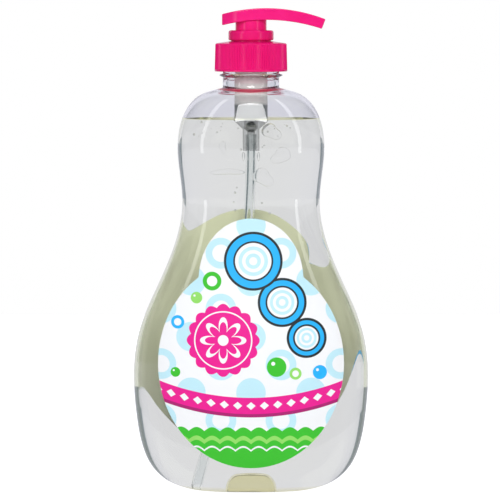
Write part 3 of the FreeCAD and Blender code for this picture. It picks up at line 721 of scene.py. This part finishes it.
def paper_axes(tree):
    """Millimetres across and up the label, and the same as a flat vector."""
    coords = node(tree, "ShaderNodeTexCoord")
    split = node(tree, "ShaderNodeSeparateXYZ", Vector=coords.outputs["Object"])
    x = maths(tree, "MULTIPLY", split.outputs["X"], 1 / MM)
    z = maths(tree, "MULTIPLY", split.outputs["Z"], 1 / MM)
    flat = node(tree, "ShaderNodeCombineXYZ", X=x, Y=0.0, Z=z)
    return x, z, flat.outputs[0]


def inked(tree, depth):
    """One where a depth inside a printed shape is above zero, with a soft edge."""
    edge = maths(tree, "MULTIPLY_ADD", depth, 1 / PRINT_EDGE, 0.5)
    edge.node.use_clamp = True
    return edge


def away(tree, flat, x, z):
    """Distance from a point of the label."""
    gap = tree.nodes.new("ShaderNodeVectorMath")
    gap.operation = "DISTANCE"
    tree.links.new(flat, gap.inputs[0])
    gap.inputs[1].default_value = (x, 0.0, z)
    return gap.outputs["Value"]


def disc(tree, distance, radius):
    return inked(tree, maths(tree, "SUBTRACT", radius, distance))


def hoop(tree, distance, radius, half):
    off = maths(tree, "ABSOLUTE", maths(tree, "SUBTRACT", distance, radius))
    return inked(tree, maths(tree, "SUBTRACT", half, off))


def printed(tree, under, colour, mask):
    """Ink of one colour over what is already printed."""
    mixed = tree.nodes.new("ShaderNodeMix")
    mixed.data_type = "RGBA"
    tree.links.new(mask, mixed.inputs["Factor"])
    for place, value in ((6, under), (7, colour)):
        if isinstance(value, bpy.types.NodeSocket):
            tree.links.new(value, mixed.inputs[place])
        else:
            mixed.inputs[place].default_value = value
    return mixed.outputs[2]


def scattered(tree, x, z, pitch_x, pitch_z, shift_x, shift_z):
    """Distance to the nearest point of a regular grid."""
    across = maths(tree, "WRAP", maths(tree, "ADD", x, shift_x), pitch_x / 2, -pitch_x / 2)
    up = maths(tree, "WRAP", maths(tree, "ADD", z, shift_z), pitch_z / 2, -pitch_z / 2)
    square = maths(tree, "MULTIPLY_ADD", across, across, maths(tree, "MULTIPLY", up, up))
    return maths(tree, "SQRT", square)


def flower(tree, flat, x, z, centre, radius, petals, depth):
    """Depth inside a round flower with scalloped edges."""
    upwards = maths(tree, "SUBTRACT", z, centre[1])
    sideways = maths(tree, "SUBTRACT", x, centre[0])
    turn = maths(tree, "ARCTAN2", upwards, sideways)
    lobe = maths(tree, "ABSOLUTE", maths(tree, "COSINE", maths(tree, "MULTIPLY", turn, petals / 2)))
    edge = maths(tree, "MULTIPLY_ADD", lobe, radius * depth, radius * (1 - depth))
    return maths(tree, "SUBTRACT", edge, away(tree, flat, centre[0], centre[1]))


def plate(tree, colour, flat, centre, radius):
    """A round plate with a dark outline, a blue band and two pale rings in its middle."""
    gap = away(tree, flat, centre[0], centre[1])
    colour = printed(tree, colour, INK, disc(tree, gap, radius))
    colour = printed(tree, colour, SKY_BLUE, disc(tree, gap, radius - 1.1))
    colour = printed(tree, colour, INK, disc(tree, gap, 0.68 * radius))
    colour = printed(tree, colour, WHITE, disc(tree, gap, 0.68 * radius - 0.8))
    for share in (0.44, 0.2):
        colour = printed(tree, colour, PALE_BLUE, hoop(tree, gap, share * radius, 0.06 * radius))
    return colour


def spotted_paper(tree, x, z):
    """White paper with large pale dots and rings."""
    wide = scattered(tree, x, z, 27.0, 25.0, 0.0, 3.0)
    small = scattered(tree, x, z, 27.0, 25.0, 13.5, 15.5)
    colour = printed(tree, WHITE, PALE_BLUE, disc(tree, wide, 6.6))
    return printed(tree, colour, PALE_BLUE, hoop(tree, small, 5.4, 1.5))


def film_finish(tree, output, colour):
    """Printed film: a smooth varnish with a faint grain."""
    coords = node(tree, "ShaderNodeTexCoord")
    grain = node(tree, "ShaderNodeTexNoise", Vector=coords.outputs["Object"], Scale=2500.0, Detail=2.0)
    bump = node(tree, "ShaderNodeBump", Strength=0.05, Distance=0.00005, Height=grain.outputs[0])
    film = node(tree, "ShaderNodeBsdfPrincipled", Base_Color=colour, Roughness=0.38, Normal=bump.outputs[0])
    film.inputs["Specular IOR Level"].default_value = 0.35
    tree.links.new(film.outputs[0], output.inputs["Surface"])


front_print, tree, output = new_material("label_print")
x, z, flat = paper_axes(tree)
colour = spotted_paper(tree, x, z)
# Green along the foot of the label, with a scalloped top and two light stripes.
bow = maths(tree, "MULTIPLY", maths(tree, "MULTIPLY", x, x), 0.0042)
scallop_wave = maths(tree, "ABSOLUTE", maths(tree, "SINE", maths(tree, "MULTIPLY", x, math.pi / 7.0)))
scallop = maths(tree, "MULTIPLY", scallop_wave, 1.8)
level = maths(tree, "SUBTRACT", z, scallop)
colour = printed(tree, colour, GREEN, inked(tree, maths(tree, "SUBTRACT", 29.5, level)))
colour = printed(tree, colour, LIGHT_GREEN, hoop(tree, level, 24.6, 1.0))
colour = printed(tree, colour, WHITE, hoop(tree, level, 20.6, 0.4))
# Three plates go down to the right in steps, each behind the one above it.
for centre, radius in (((25.0, 71.5), 9.0), ((14.0, 87.5), 11.0), ((1.0, 106.0), 13.2)):
    colour = plate(tree, colour, flat, centre, radius)
# A hot pink band, bowed like the label's lower edge, with a row of white diamonds and a dark lower border.
band = maths(tree, "SUBTRACT", z, bow)
colour = printed(tree, colour, DEEP_PINK, hoop(tree, band, 40.2, 4.4))
colour = printed(tree, colour, HOT_PINK, hoop(tree, band, 41.0, 3.7))
along = maths(tree, "ABSOLUTE", maths(tree, "WRAP", x, 3.0, -3.0))
across = maths(tree, "ABSOLUTE", maths(tree, "SUBTRACT", band, 41.0))
row = maths(tree, "SUBTRACT", 1.75, maths(tree, "MULTIPLY_ADD", along, 0.85, across))
colour = printed(tree, colour, WHITE, inked(tree, row))
# Bubbles at both sides.
for centre, radius, ink, open_middle in (
    ((-17.5, 97.0), 4.2, GREEN, True),
    ((-24.5, 89.5), 2.6, LIGHT_GREEN, False),
    ((-33.0, 78.5), 3.0, SKY_BLUE, True),
    ((11.5, 58.5), 4.4, GREEN, False),
    ((20.0, 55.5), 2.7, LIGHT_GREEN, True),
    ((31.0, 56.0), 3.2, SKY_BLUE, False),
    ((-34.0, 56.0), 2.2, GREEN, False),
):
    gap = away(tree, flat, centre[0], centre[1])
    colour = printed(tree, colour, ink, disc(tree, gap, radius))
    if open_middle:
        colour = printed(tree, colour, WHITE, disc(tree, gap, 0.55 * radius))
    else:
        glint = away(tree, flat, centre[0] - 0.35 * radius, centre[1] + 0.35 * radius)
        colour = printed(tree, colour, WHITE, disc(tree, glint, 0.2 * radius))
# A hot pink flower with a scalloped edge, a ring of white petals and a white middle.
bloom = (-12.5, 70.5)
colour = printed(tree, colour, HOT_PINK, inked(tree, flower(tree, flat, x, z, bloom, 16.4, 16, 0.10)))
colour = printed(tree, colour, WHITE, inked(tree, flower(tree, flat, x, z, bloom, 10.4, 8, 0.55)))
colour = printed(tree, colour, HOT_PINK, inked(tree, flower(tree, flat, x, z, bloom, 8.2, 8, 0.52)))
gap = away(tree, flat, bloom[0], bloom[1])
colour = printed(tree, colour, WHITE, disc(tree, gap, 2.4))
colour = printed(tree, colour, WHITE, hoop(tree, gap, 12.8, 0.3))
film_finish(tree, output, colour)

back_print, tree, output = new_material("back_label_print")
x, z, flat = paper_axes(tree)
colour = spotted_paper(tree, x, z)
edges = []
for centre, wide, tall in LABEL_OVALS:
    across = maths(tree, "MULTIPLY", x, 1 / wide)
    up = maths(tree, "MULTIPLY", maths(tree, "SUBTRACT", z, centre), 1 / tall)
    square = maths(tree, "MULTIPLY_ADD", across, across, maths(tree, "MULTIPLY", up, up))
    edges.append(maths(tree, "SQRT", square))
rim = maths(tree, "MINIMUM", edges[0], edges[1])
colour = printed(
    tree, colour, SKY_BLUE, inked(tree, maths(tree, "MULTIPLY", maths(tree, "SUBTRACT", rim, 0.955), 30.0))
)
colour = printed(
    tree, colour, WHITE, inked(tree, maths(tree, "MULTIPLY", maths(tree, "SUBTRACT", rim, 0.98), 30.0))
)
film_finish(tree, output, colour)

# The glued side shows through the bottle as a dull cream.
glue, tree, output = new_material("label_glue")
coords = node(tree, "ShaderNodeTexCoord")
cloud = node(tree, "ShaderNodeTexNoise", Vector=coords.outputs["Object"], Scale=140.0, Detail=3.0)
tone = node(tree, "ShaderNodeMix")
tone.data_type = "RGBA"
tree.links.new(cloud.outputs[0], tone.inputs["Factor"])
tone.inputs[6].default_value = (0.93, 0.915, 0.73, 1.0)
tone.inputs[7].default_value = (0.97, 0.96, 0.80, 1.0)
back = node(tree, "ShaderNodeBsdfPrincipled", Base_Color=tone.outputs[2], Roughness=0.6)
tree.links.new(back.outputs[0], output.inputs["Surface"])

LABEL_MIDDLE = 84.0
LABEL_HEIGHT = 0.17
LABEL_FILM = 0.1
LABEL_POINTS = 168
LABEL_RINGS = 30
film_rows = body_rows(LABEL_HEIGHT, 40)
film_heights = np.array([row[0] for row in film_rows])
film_widths = np.array([row[1] for row in film_rows])
film_depths = np.array([row[2] for row in film_rows])


def label_edge(angle):
    """How far the label reaches from its middle in a direction, in millimetres."""
    reach = 0.0
    for centre, wide, tall in LABEL_OVALS:
        dx = math.cos(angle) / wide
        dz = math.sin(angle) / tall
        offset = (LABEL_MIDDLE - centre) / tall
        a = dx * dx + dz * dz
        b = 2 * dz * offset
        c = offset * offset - 1
        root = b * b - 4 * a * c
        if root > 0:
            reach = max(reach, (-b + math.sqrt(root)) / (2 * a))
    return reach


def skin_depth(x, z):
    """Depth of the bottle's skin, plus the label's height, at a place seen from the front."""
    wide = float(np.interp(z, film_heights, film_widths))
    deep = float(np.interp(z, film_heights, film_depths))
    full = fullness_at(z)
    low, high = 0.0, math.pi / 2
    for _ in range(40):
        angle = (low + high) / 2
        across = wide * (math.cos(angle) - full * math.cos(3 * angle)) / (1 - full)
        if across > abs(x):
            low = angle
        else:
            high = angle
    return deep * (math.sin(angle) + full * math.sin(3 * angle)) / (1 - full)


def lay_label(name, side, outer_finish, shift, lift):
    """A flat sheet in the label's outline is divided into rings, laid on the skin and given its thickness."""
    bpy.ops.object.select_all(action="DESELECT")
    bpy.ops.mesh.primitive_circle_add(vertices=LABEL_POINTS, radius=1.0, location=(0, 0, 0))
    made = bpy.context.active_object
    made.name = name
    made.data.materials.append(outer_finish)
    made.data.materials.append(glue)
    bpy.ops.object.mode_set(mode="EDIT")
    mesh = bmesh.from_edit_mesh(made.data)
    turn = mesh.verts.layers.float.new("turn")
    for vertex in mesh.verts:
        vertex[turn] = math.atan2(vertex.co.y, vertex.co.x)
    bmesh.update_edit_mesh(made.data)
    for place in range(LABEL_RINGS):
        share = 1 - place / LABEL_RINGS
        if place:
            bpy.ops.mesh.extrude_edges_move()
        mesh = bmesh.from_edit_mesh(made.data)
        turn = mesh.verts.layers.float["turn"]
        for vertex in mesh.verts:
            if vertex.select:
                reach = label_edge(vertex[turn]) * share
                x = reach * math.cos(vertex[turn])
                z = LABEL_MIDDLE + reach * math.sin(vertex[turn])
                x += shift
                z += lift
                vertex.co = Vector((x * MM, side * skin_depth(x, z) * MM, z * MM))
        bmesh.update_edit_mesh(made.data)
    bpy.ops.mesh.merge(type="CENTER")
    bpy.ops.mesh.select_all(action="SELECT")
    bpy.ops.mesh.normals_make_consistent(inside=False)
    bpy.ops.object.mode_set(mode="OBJECT")
    if made.data.polygons[0].normal.y * side < 0:
        made.data.flip_normals()
    made.data.attributes.remove(made.data.attributes["turn"])
    film = made.modifiers.new("film", "SOLIDIFY")
    film.thickness = LABEL_FILM * MM
    film.offset = -1.0
    film.material_offset = 1
    bpy.ops.object.modifier_apply(modifier="film")
    bpy.ops.object.shade_smooth_by_angle(angle=math.radians(40))
    return made


# The back label sits a little higher and further left than the front one.
for name, side, outer_finish, node_name, shift, lift in (
    ("label_front", -1, front_print, "front_label", 0.0, 0.0),
    ("label_back", 1, back_print, "back_label", -1.5, 2.5),
):
    label = lay_label(name, side, outer_finish, shift, lift)
    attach(label, "bottle")
    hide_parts(node_name)


# The closure is a ribbed screw cap moulded in hot pink plastic, and the locking collar above it is of the same
# plastic. The collar snaps on the pump's housing and holds the closure there, free to turn.
def moulded_plastic(name, deep, light, roughness, grain_scale=1400.0):
    """Coloured polypropylene: an uneven tone, a fine mould grain and a soft gloss."""
    material, tree, output = new_material(name)
    coords = node(tree, "ShaderNodeTexCoord")
    cloud = node(tree, "ShaderNodeTexNoise", Vector=coords.outputs["Object"], Scale=160.0, Detail=3.0)
    tone = node(tree, "ShaderNodeMix")
    tone.data_type = "RGBA"
    tree.links.new(cloud.outputs[0], tone.inputs["Factor"])
    tone.inputs[6].default_value = deep
    tone.inputs[7].default_value = light
    grain = node(tree, "ShaderNodeTexNoise", Vector=coords.outputs["Object"], Scale=grain_scale, Detail=2.0)
    bump = node(tree, "ShaderNodeBump", Strength=0.12, Distance=0.00006, Height=grain.outputs[0])
    worn = maths(tree, "MULTIPLY_ADD", cloud.outputs[0], 0.12, roughness - 0.06)
    shell = node(
        tree, "ShaderNodeBsdfPrincipled", Base_Color=tone.outputs[2], Roughness=worn, IOR=1.49,
        Normal=bump.outputs[0]
    )
    shell.inputs["Specular IOR Level"].default_value = 0.3
    shell.inputs["Subsurface Weight"].default_value = 0.12
    shell.inputs["Subsurface Radius"].default_value = (1.0, 0.25, 0.4)
    shell.inputs["Subsurface Scale"].default_value = 0.0008
    tree.links.new(shell.outputs[0], output.inputs["Surface"])
    return material, tree, shell


def refinish(name, material):
    """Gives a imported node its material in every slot."""
    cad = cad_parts[name]
    if not cad.material_slots:
        cad.data.materials.append(material)
    for slot in cad.material_slots:
        slot.material = material


cap_pink, _, _ = moulded_plastic("cap_pink", (0.76, 0.004, 0.150, 1.0), (0.86, 0.009, 0.195, 1.0), 0.2)
refinish("closure", cap_pink)
refinish("lock_collar", cap_pink)

# The closure's own thread is a ridge inside its bore, which lies under the neck's ridge.
CLOSURE_BORE = 14.2
THREAD_BELOW = 1.7
THREAD_LATER = 0.05
closure_thread_z = 193.4 + THREAD_LEAD * THREAD_LATER - THREAD_BELOW
closure_thread = screw_ridge(
    "closure_thread", CLOSURE_BORE + 0.05, 13.05, closure_thread_z, THREAD_LATER, 1.0, 1.1, 0.45
)
closure_thread.data.materials.append(cap_pink)
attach(closure_thread, "closure")


# The pump head is one hot pink moulding: a curved bar with a finger pad and a spout, a skirt that runs in the
# collar and a socket for the stem. It is pressed on the stem.
head_pink, _, _ = moulded_plastic("head_pink", (0.84, 0.006, 0.18, 1.0), (0.91, 0.012, 0.225, 1.0), 0.2)
refinish("pump_head", head_pink)


# The pump's housing, stem, plug and piston are of natural polypropylene, milky and half clear, moulded apart
# and snapped together. Where the soap wets it, the plastic is clearer, and its edges show most.
PAINTED_PINK_REFLECTION_FROM = 184.0
PAINTED_SHADE_UNDER = 176.0


def natural_plastic(name, colour, dry_cover, wet_cover, edge_cover):
    """Milky plastic that covers what is behind it by half, more at its edges and less below the soap's surface.

    It carries a painted pink reflection of the closure at its top, and painted shade lower down: there its colour
    is darker, and so is what shows through it above the soap.
    """
    material, tree, output = new_material(name)
    coords = node(tree, "ShaderNodeTexCoord")
    split = node(tree, "ShaderNodeSeparateXYZ", Vector=coords.outputs["Object"])
    cloud = node(tree, "ShaderNodeTexNoise", Vector=coords.outputs["Object"], Scale=420.0, Detail=2.0)
    bump = node(tree, "ShaderNodeBump", Strength=0.1, Distance=0.0001, Height=cloud.outputs[0])
    height = maths(tree, "MULTIPLY", split.outputs["Z"], 1 / MM)
    tone = colour
    # Colour by height: a painted pink reflection of the closure at the top, and painted shade darkening it below.
    painted_pink_reflection_zone = (PAINTED_PINK_REFLECTION_FROM, 2.0, (0.97, 0.80, 0.80, 1.0))
    painted_shade_zone = (PAINTED_SHADE_UNDER, -0.8, (0.30, 0.31, 0.32, 1.0))
    for start, rise, shade in (painted_pink_reflection_zone, painted_shade_zone):
        share = maths(tree, "MULTIPLY_ADD", height, 1 / rise, -start / rise)
        share.node.use_clamp = True
        mixed = node(tree, "ShaderNodeMix")
        mixed.data_type = "RGBA"
        tree.links.new(share, mixed.inputs["Factor"])
        if isinstance(tone, tuple):
            mixed.inputs[6].default_value = tone
        else:
            tree.links.new(tone, mixed.inputs[6])
        mixed.inputs[7].default_value = shade
        tone = mixed.outputs[2]
    shell = node(
        tree, "ShaderNodeBsdfPrincipled", Base_Color=tone, Roughness=0.35, IOR=1.49, Normal=bump.outputs[0]
    )
    milk = node(tree, "ShaderNodeBsdfTranslucent", Color=tone)
    body = node(tree, "ShaderNodeMixShader", Fac=0.3, i1=shell.outputs[0], i2=milk.outputs[0])
    # Painted shade: what shows through is darker between the soap's surface and the height where the painted
    # shade starts, and the plastic covers more above that height.
    under = maths(tree, "LESS_THAN", height, FILL_Z)
    upper = maths(tree, "MULTIPLY_ADD", height, 1.0, -PAINTED_SHADE_UNDER)
    upper.node.use_clamp = True
    painted_shade_band = maths(tree, "SUBTRACT", 1.0, maths(tree, "MAXIMUM", under, upper))
    through_with_painted_shade = node(tree, "ShaderNodeMix")
    through_with_painted_shade.data_type = "RGBA"
    tree.links.new(painted_shade_band, through_with_painted_shade.inputs["Factor"])
    through_with_painted_shade.inputs[6].default_value = (0.95, 0.955, 0.955, 1.0)
    through_with_painted_shade.inputs[7].default_value = (0.83, 0.85, 0.86, 1.0)
    through = node(tree, "ShaderNodeBsdfTransparent", Color=through_with_painted_shade.outputs[2])
    facing = node(tree, "ShaderNodeLayerWeight", Blend=0.35)
    dry = maths(tree, "MULTIPLY_ADD", upper, 0.3, dry_cover)
    cover = maths(tree, "MULTIPLY_ADD", under, wet_cover - dry_cover, dry)
    cover = maths(tree, "MULTIPLY_ADD", facing.outputs["Facing"], edge_cover, cover)
    cover.node.use_clamp = True
    both = node(tree, "ShaderNodeMixShader", Fac=cover, i1=through.outputs[0], i2=body.outputs[0])
    tree.links.new(both.outputs[0], output.inputs["Surface"])
    return material


milky = natural_plastic("natural_pump_plastic", (0.97, 0.955, 0.93, 1.0), 0.55, 0.14, 0.35)
for name in ("housing", "stem", "stem_plug", "piston"):
    refinish(name, milky)


# The dip tube is drawn from clear soft plastic, pushed up into the housing's socket, and bends towards a corner
# of the base. Air that is shut in the locked pump keeps its upper part empty, and soap fills the rest.
TUBE_RADIUS = 2.25
TUBE_BORE = 1.55
TUBE_TOP_Z = 162.0
SOCKET_Z = 155.0
TUBE_LOW_Z = 6.0
TUBE_SWEEP = 23.5
TUBE_SOAP_Z = 70.0
TUBE_STEPS = 60
TUBE_POINTS = 40
TUBE_SLANT = 0.35
tube_drop = SOCKET_Z - TUBE_LOW_Z
tube_bend = (tube_drop ** 2 + TUBE_SWEEP ** 2) / (2 * TUBE_SWEEP)
tube_turn = math.asin(tube_drop / tube_bend)


def tube_ring(share, radius, angle):
    """A point of the tube's skin: share 0 is the top, 1 the cut end."""
    if share < 0:
        fall_z = SOCKET_Z - share * (TUBE_TOP_Z - SOCKET_Z)
        return Vector((radius * math.cos(angle), radius * math.sin(angle), fall_z))
    turn = tube_turn * share
    middle = Vector((-tube_bend * (1 - math.cos(turn)), 0.0, SOCKET_Z - tube_bend * math.sin(turn)))
    out = Vector((math.cos(turn), 0.0, -math.sin(turn)))
    along = Vector((math.sin(turn), 0.0, math.cos(turn)))
    lift = TUBE_SLANT * radius * (1 + math.cos(angle)) if share == 1 else 0.0
    return middle + out * radius * math.cos(angle) + Vector((0, radius * math.sin(angle), 0)) + along * lift


bpy.ops.object.select_all(action="DESELECT")
bpy.ops.mesh.primitive_circle_add(vertices=TUBE_POINTS, radius=1.0, location=(0, 0, 0))
tube = bpy.context.active_object
tube.name = "dip_tube_drawn"
stations = [(-1.0, TUBE_RADIUS)] + [(place / TUBE_STEPS, TUBE_RADIUS) for place in range(TUBE_STEPS + 1)]
stations += [(place / TUBE_STEPS, TUBE_BORE) for place in range(TUBE_STEPS, -1, -1)] + [(-1.0, TUBE_BORE)]
bpy.ops.object.mode_set(mode="EDIT")
mesh = bmesh.from_edit_mesh(tube.data)
turn = mesh.verts.layers.float.new("turn")
for vertex in mesh.verts:
    vertex[turn] = math.atan2(vertex.co.y, vertex.co.x)
bmesh.update_edit_mesh(tube.data)
for place, (share, radius) in enumerate(stations):
    if place:
        bpy.ops.mesh.extrude_edges_move()
    mesh = bmesh.from_edit_mesh(tube.data)
    turn = mesh.verts.layers.float["turn"]
    for vertex in mesh.verts:
        if vertex.select:
            vertex.co = tube_ring(share, radius, vertex[turn]) * MM
    bmesh.update_edit_mesh(tube.data)
bpy.ops.mesh.select_all(action="DESELECT")
bpy.ops.mesh.select_mode(type="EDGE")
mesh = bmesh.from_edit_mesh(tube.data)
for edge in mesh.edges:
    edge.select_set(edge.is_boundary)
bmesh.update_edit_mesh(tube.data)
bpy.ops.mesh.bridge_edge_loops()
bpy.ops.mesh.select_mode(type="VERT")
bpy.ops.mesh.select_all(action="SELECT")
bpy.ops.mesh.normals_make_consistent(inside=False)
bpy.ops.object.mode_set(mode="OBJECT")
tube.data.attributes.remove(tube.data.attributes["turn"])
bpy.ops.object.shade_smooth_by_angle(angle=math.radians(40))

TUBE_IOR = 1.50
tube.data.materials.append(
    clear_finish("tube_in_soap", (0.96, 0.97, 0.97, 1.0), TUBE_IOR / SOAP_IOR, roughness=0.02)
)
tube.data.materials.append(clear_finish("tube_round_air", (0.97, 0.98, 0.98, 1.0), TUBE_IOR, roughness=0.02))
for face in tube.data.polygons:
    height = face.center.z / MM
    share = math.asin(min(max((SOCKET_Z - height) / tube_bend, 0.0), 1.0))
    middle_x = -tube_bend * (1 - math.cos(share)) * MM
    looks_in = face.normal.x * (face.center.x - middle_x) + face.normal.y * face.center.y < 0
    if looks_in and height > TUBE_SOAP_Z:
        face.material_index = 1
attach(tube, "pump_base")
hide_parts("dip_tube")


# The gasket is cut from white foam sheet and is squeezed between the bottle's rim and the housing's flange.
material, tree, output = new_material("foam_sheet")
coords = node(tree, "ShaderNodeTexCoord")
cells = node(tree, "ShaderNodeTexVoronoi", Vector=coords.outputs["Object"], Scale=3200.0)
tone = node(tree, "ShaderNodeMix")
tone.data_type = "RGBA"
tree.links.new(cells.outputs[0], tone.inputs["Factor"])
tone.inputs[6].default_value = (0.78, 0.78, 0.76, 1.0)
tone.inputs[7].default_value = (0.9, 0.9, 0.88, 1.0)
bump = node(tree, "ShaderNodeBump", Strength=0.5, Distance=0.0001, Height=cells.outputs[0])
foam = node(
    tree, "ShaderNodeBsdfPrincipled", Base_Color=tone.outputs[2], Roughness=0.85, Normal=bump.outputs[0]
)
tree.links.new(foam.outputs[0], output.inputs["Surface"])
refinish("neck_gasket", material)


# The check ball and the spring are of stainless steel: a polished ball, and drawn wire with fine lines along it.
material, tree, output = new_material("stainless_steel")
coords = node(tree, "ShaderNodeTexCoord")
lines = node(tree, "ShaderNodeTexNoise", Vector=coords.outputs["Object"], Scale=1800.0, Detail=3.0)
tone = node(tree, "ShaderNodeMix")
tone.data_type = "RGBA"
tree.links.new(lines.outputs[0], tone.inputs["Factor"])
tone.inputs[6].default_value = (0.56, 0.55, 0.54, 1.0)
tone.inputs[7].default_value = (0.68, 0.67, 0.66, 1.0)
rough = maths(tree, "MULTIPLY_ADD", lines.outputs[0], 0.18, 0.14)
steel = node(tree, "ShaderNodeBsdfPrincipled", Base_Color=tone.outputs[2], Roughness=rough, Metallic=1.0)
tree.links.new(steel.outputs[0], output.inputs["Surface"])
refinish("check_ball", material)
refinish("spring", material)


# The bounds of the dressed bottle are found.
low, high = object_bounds()
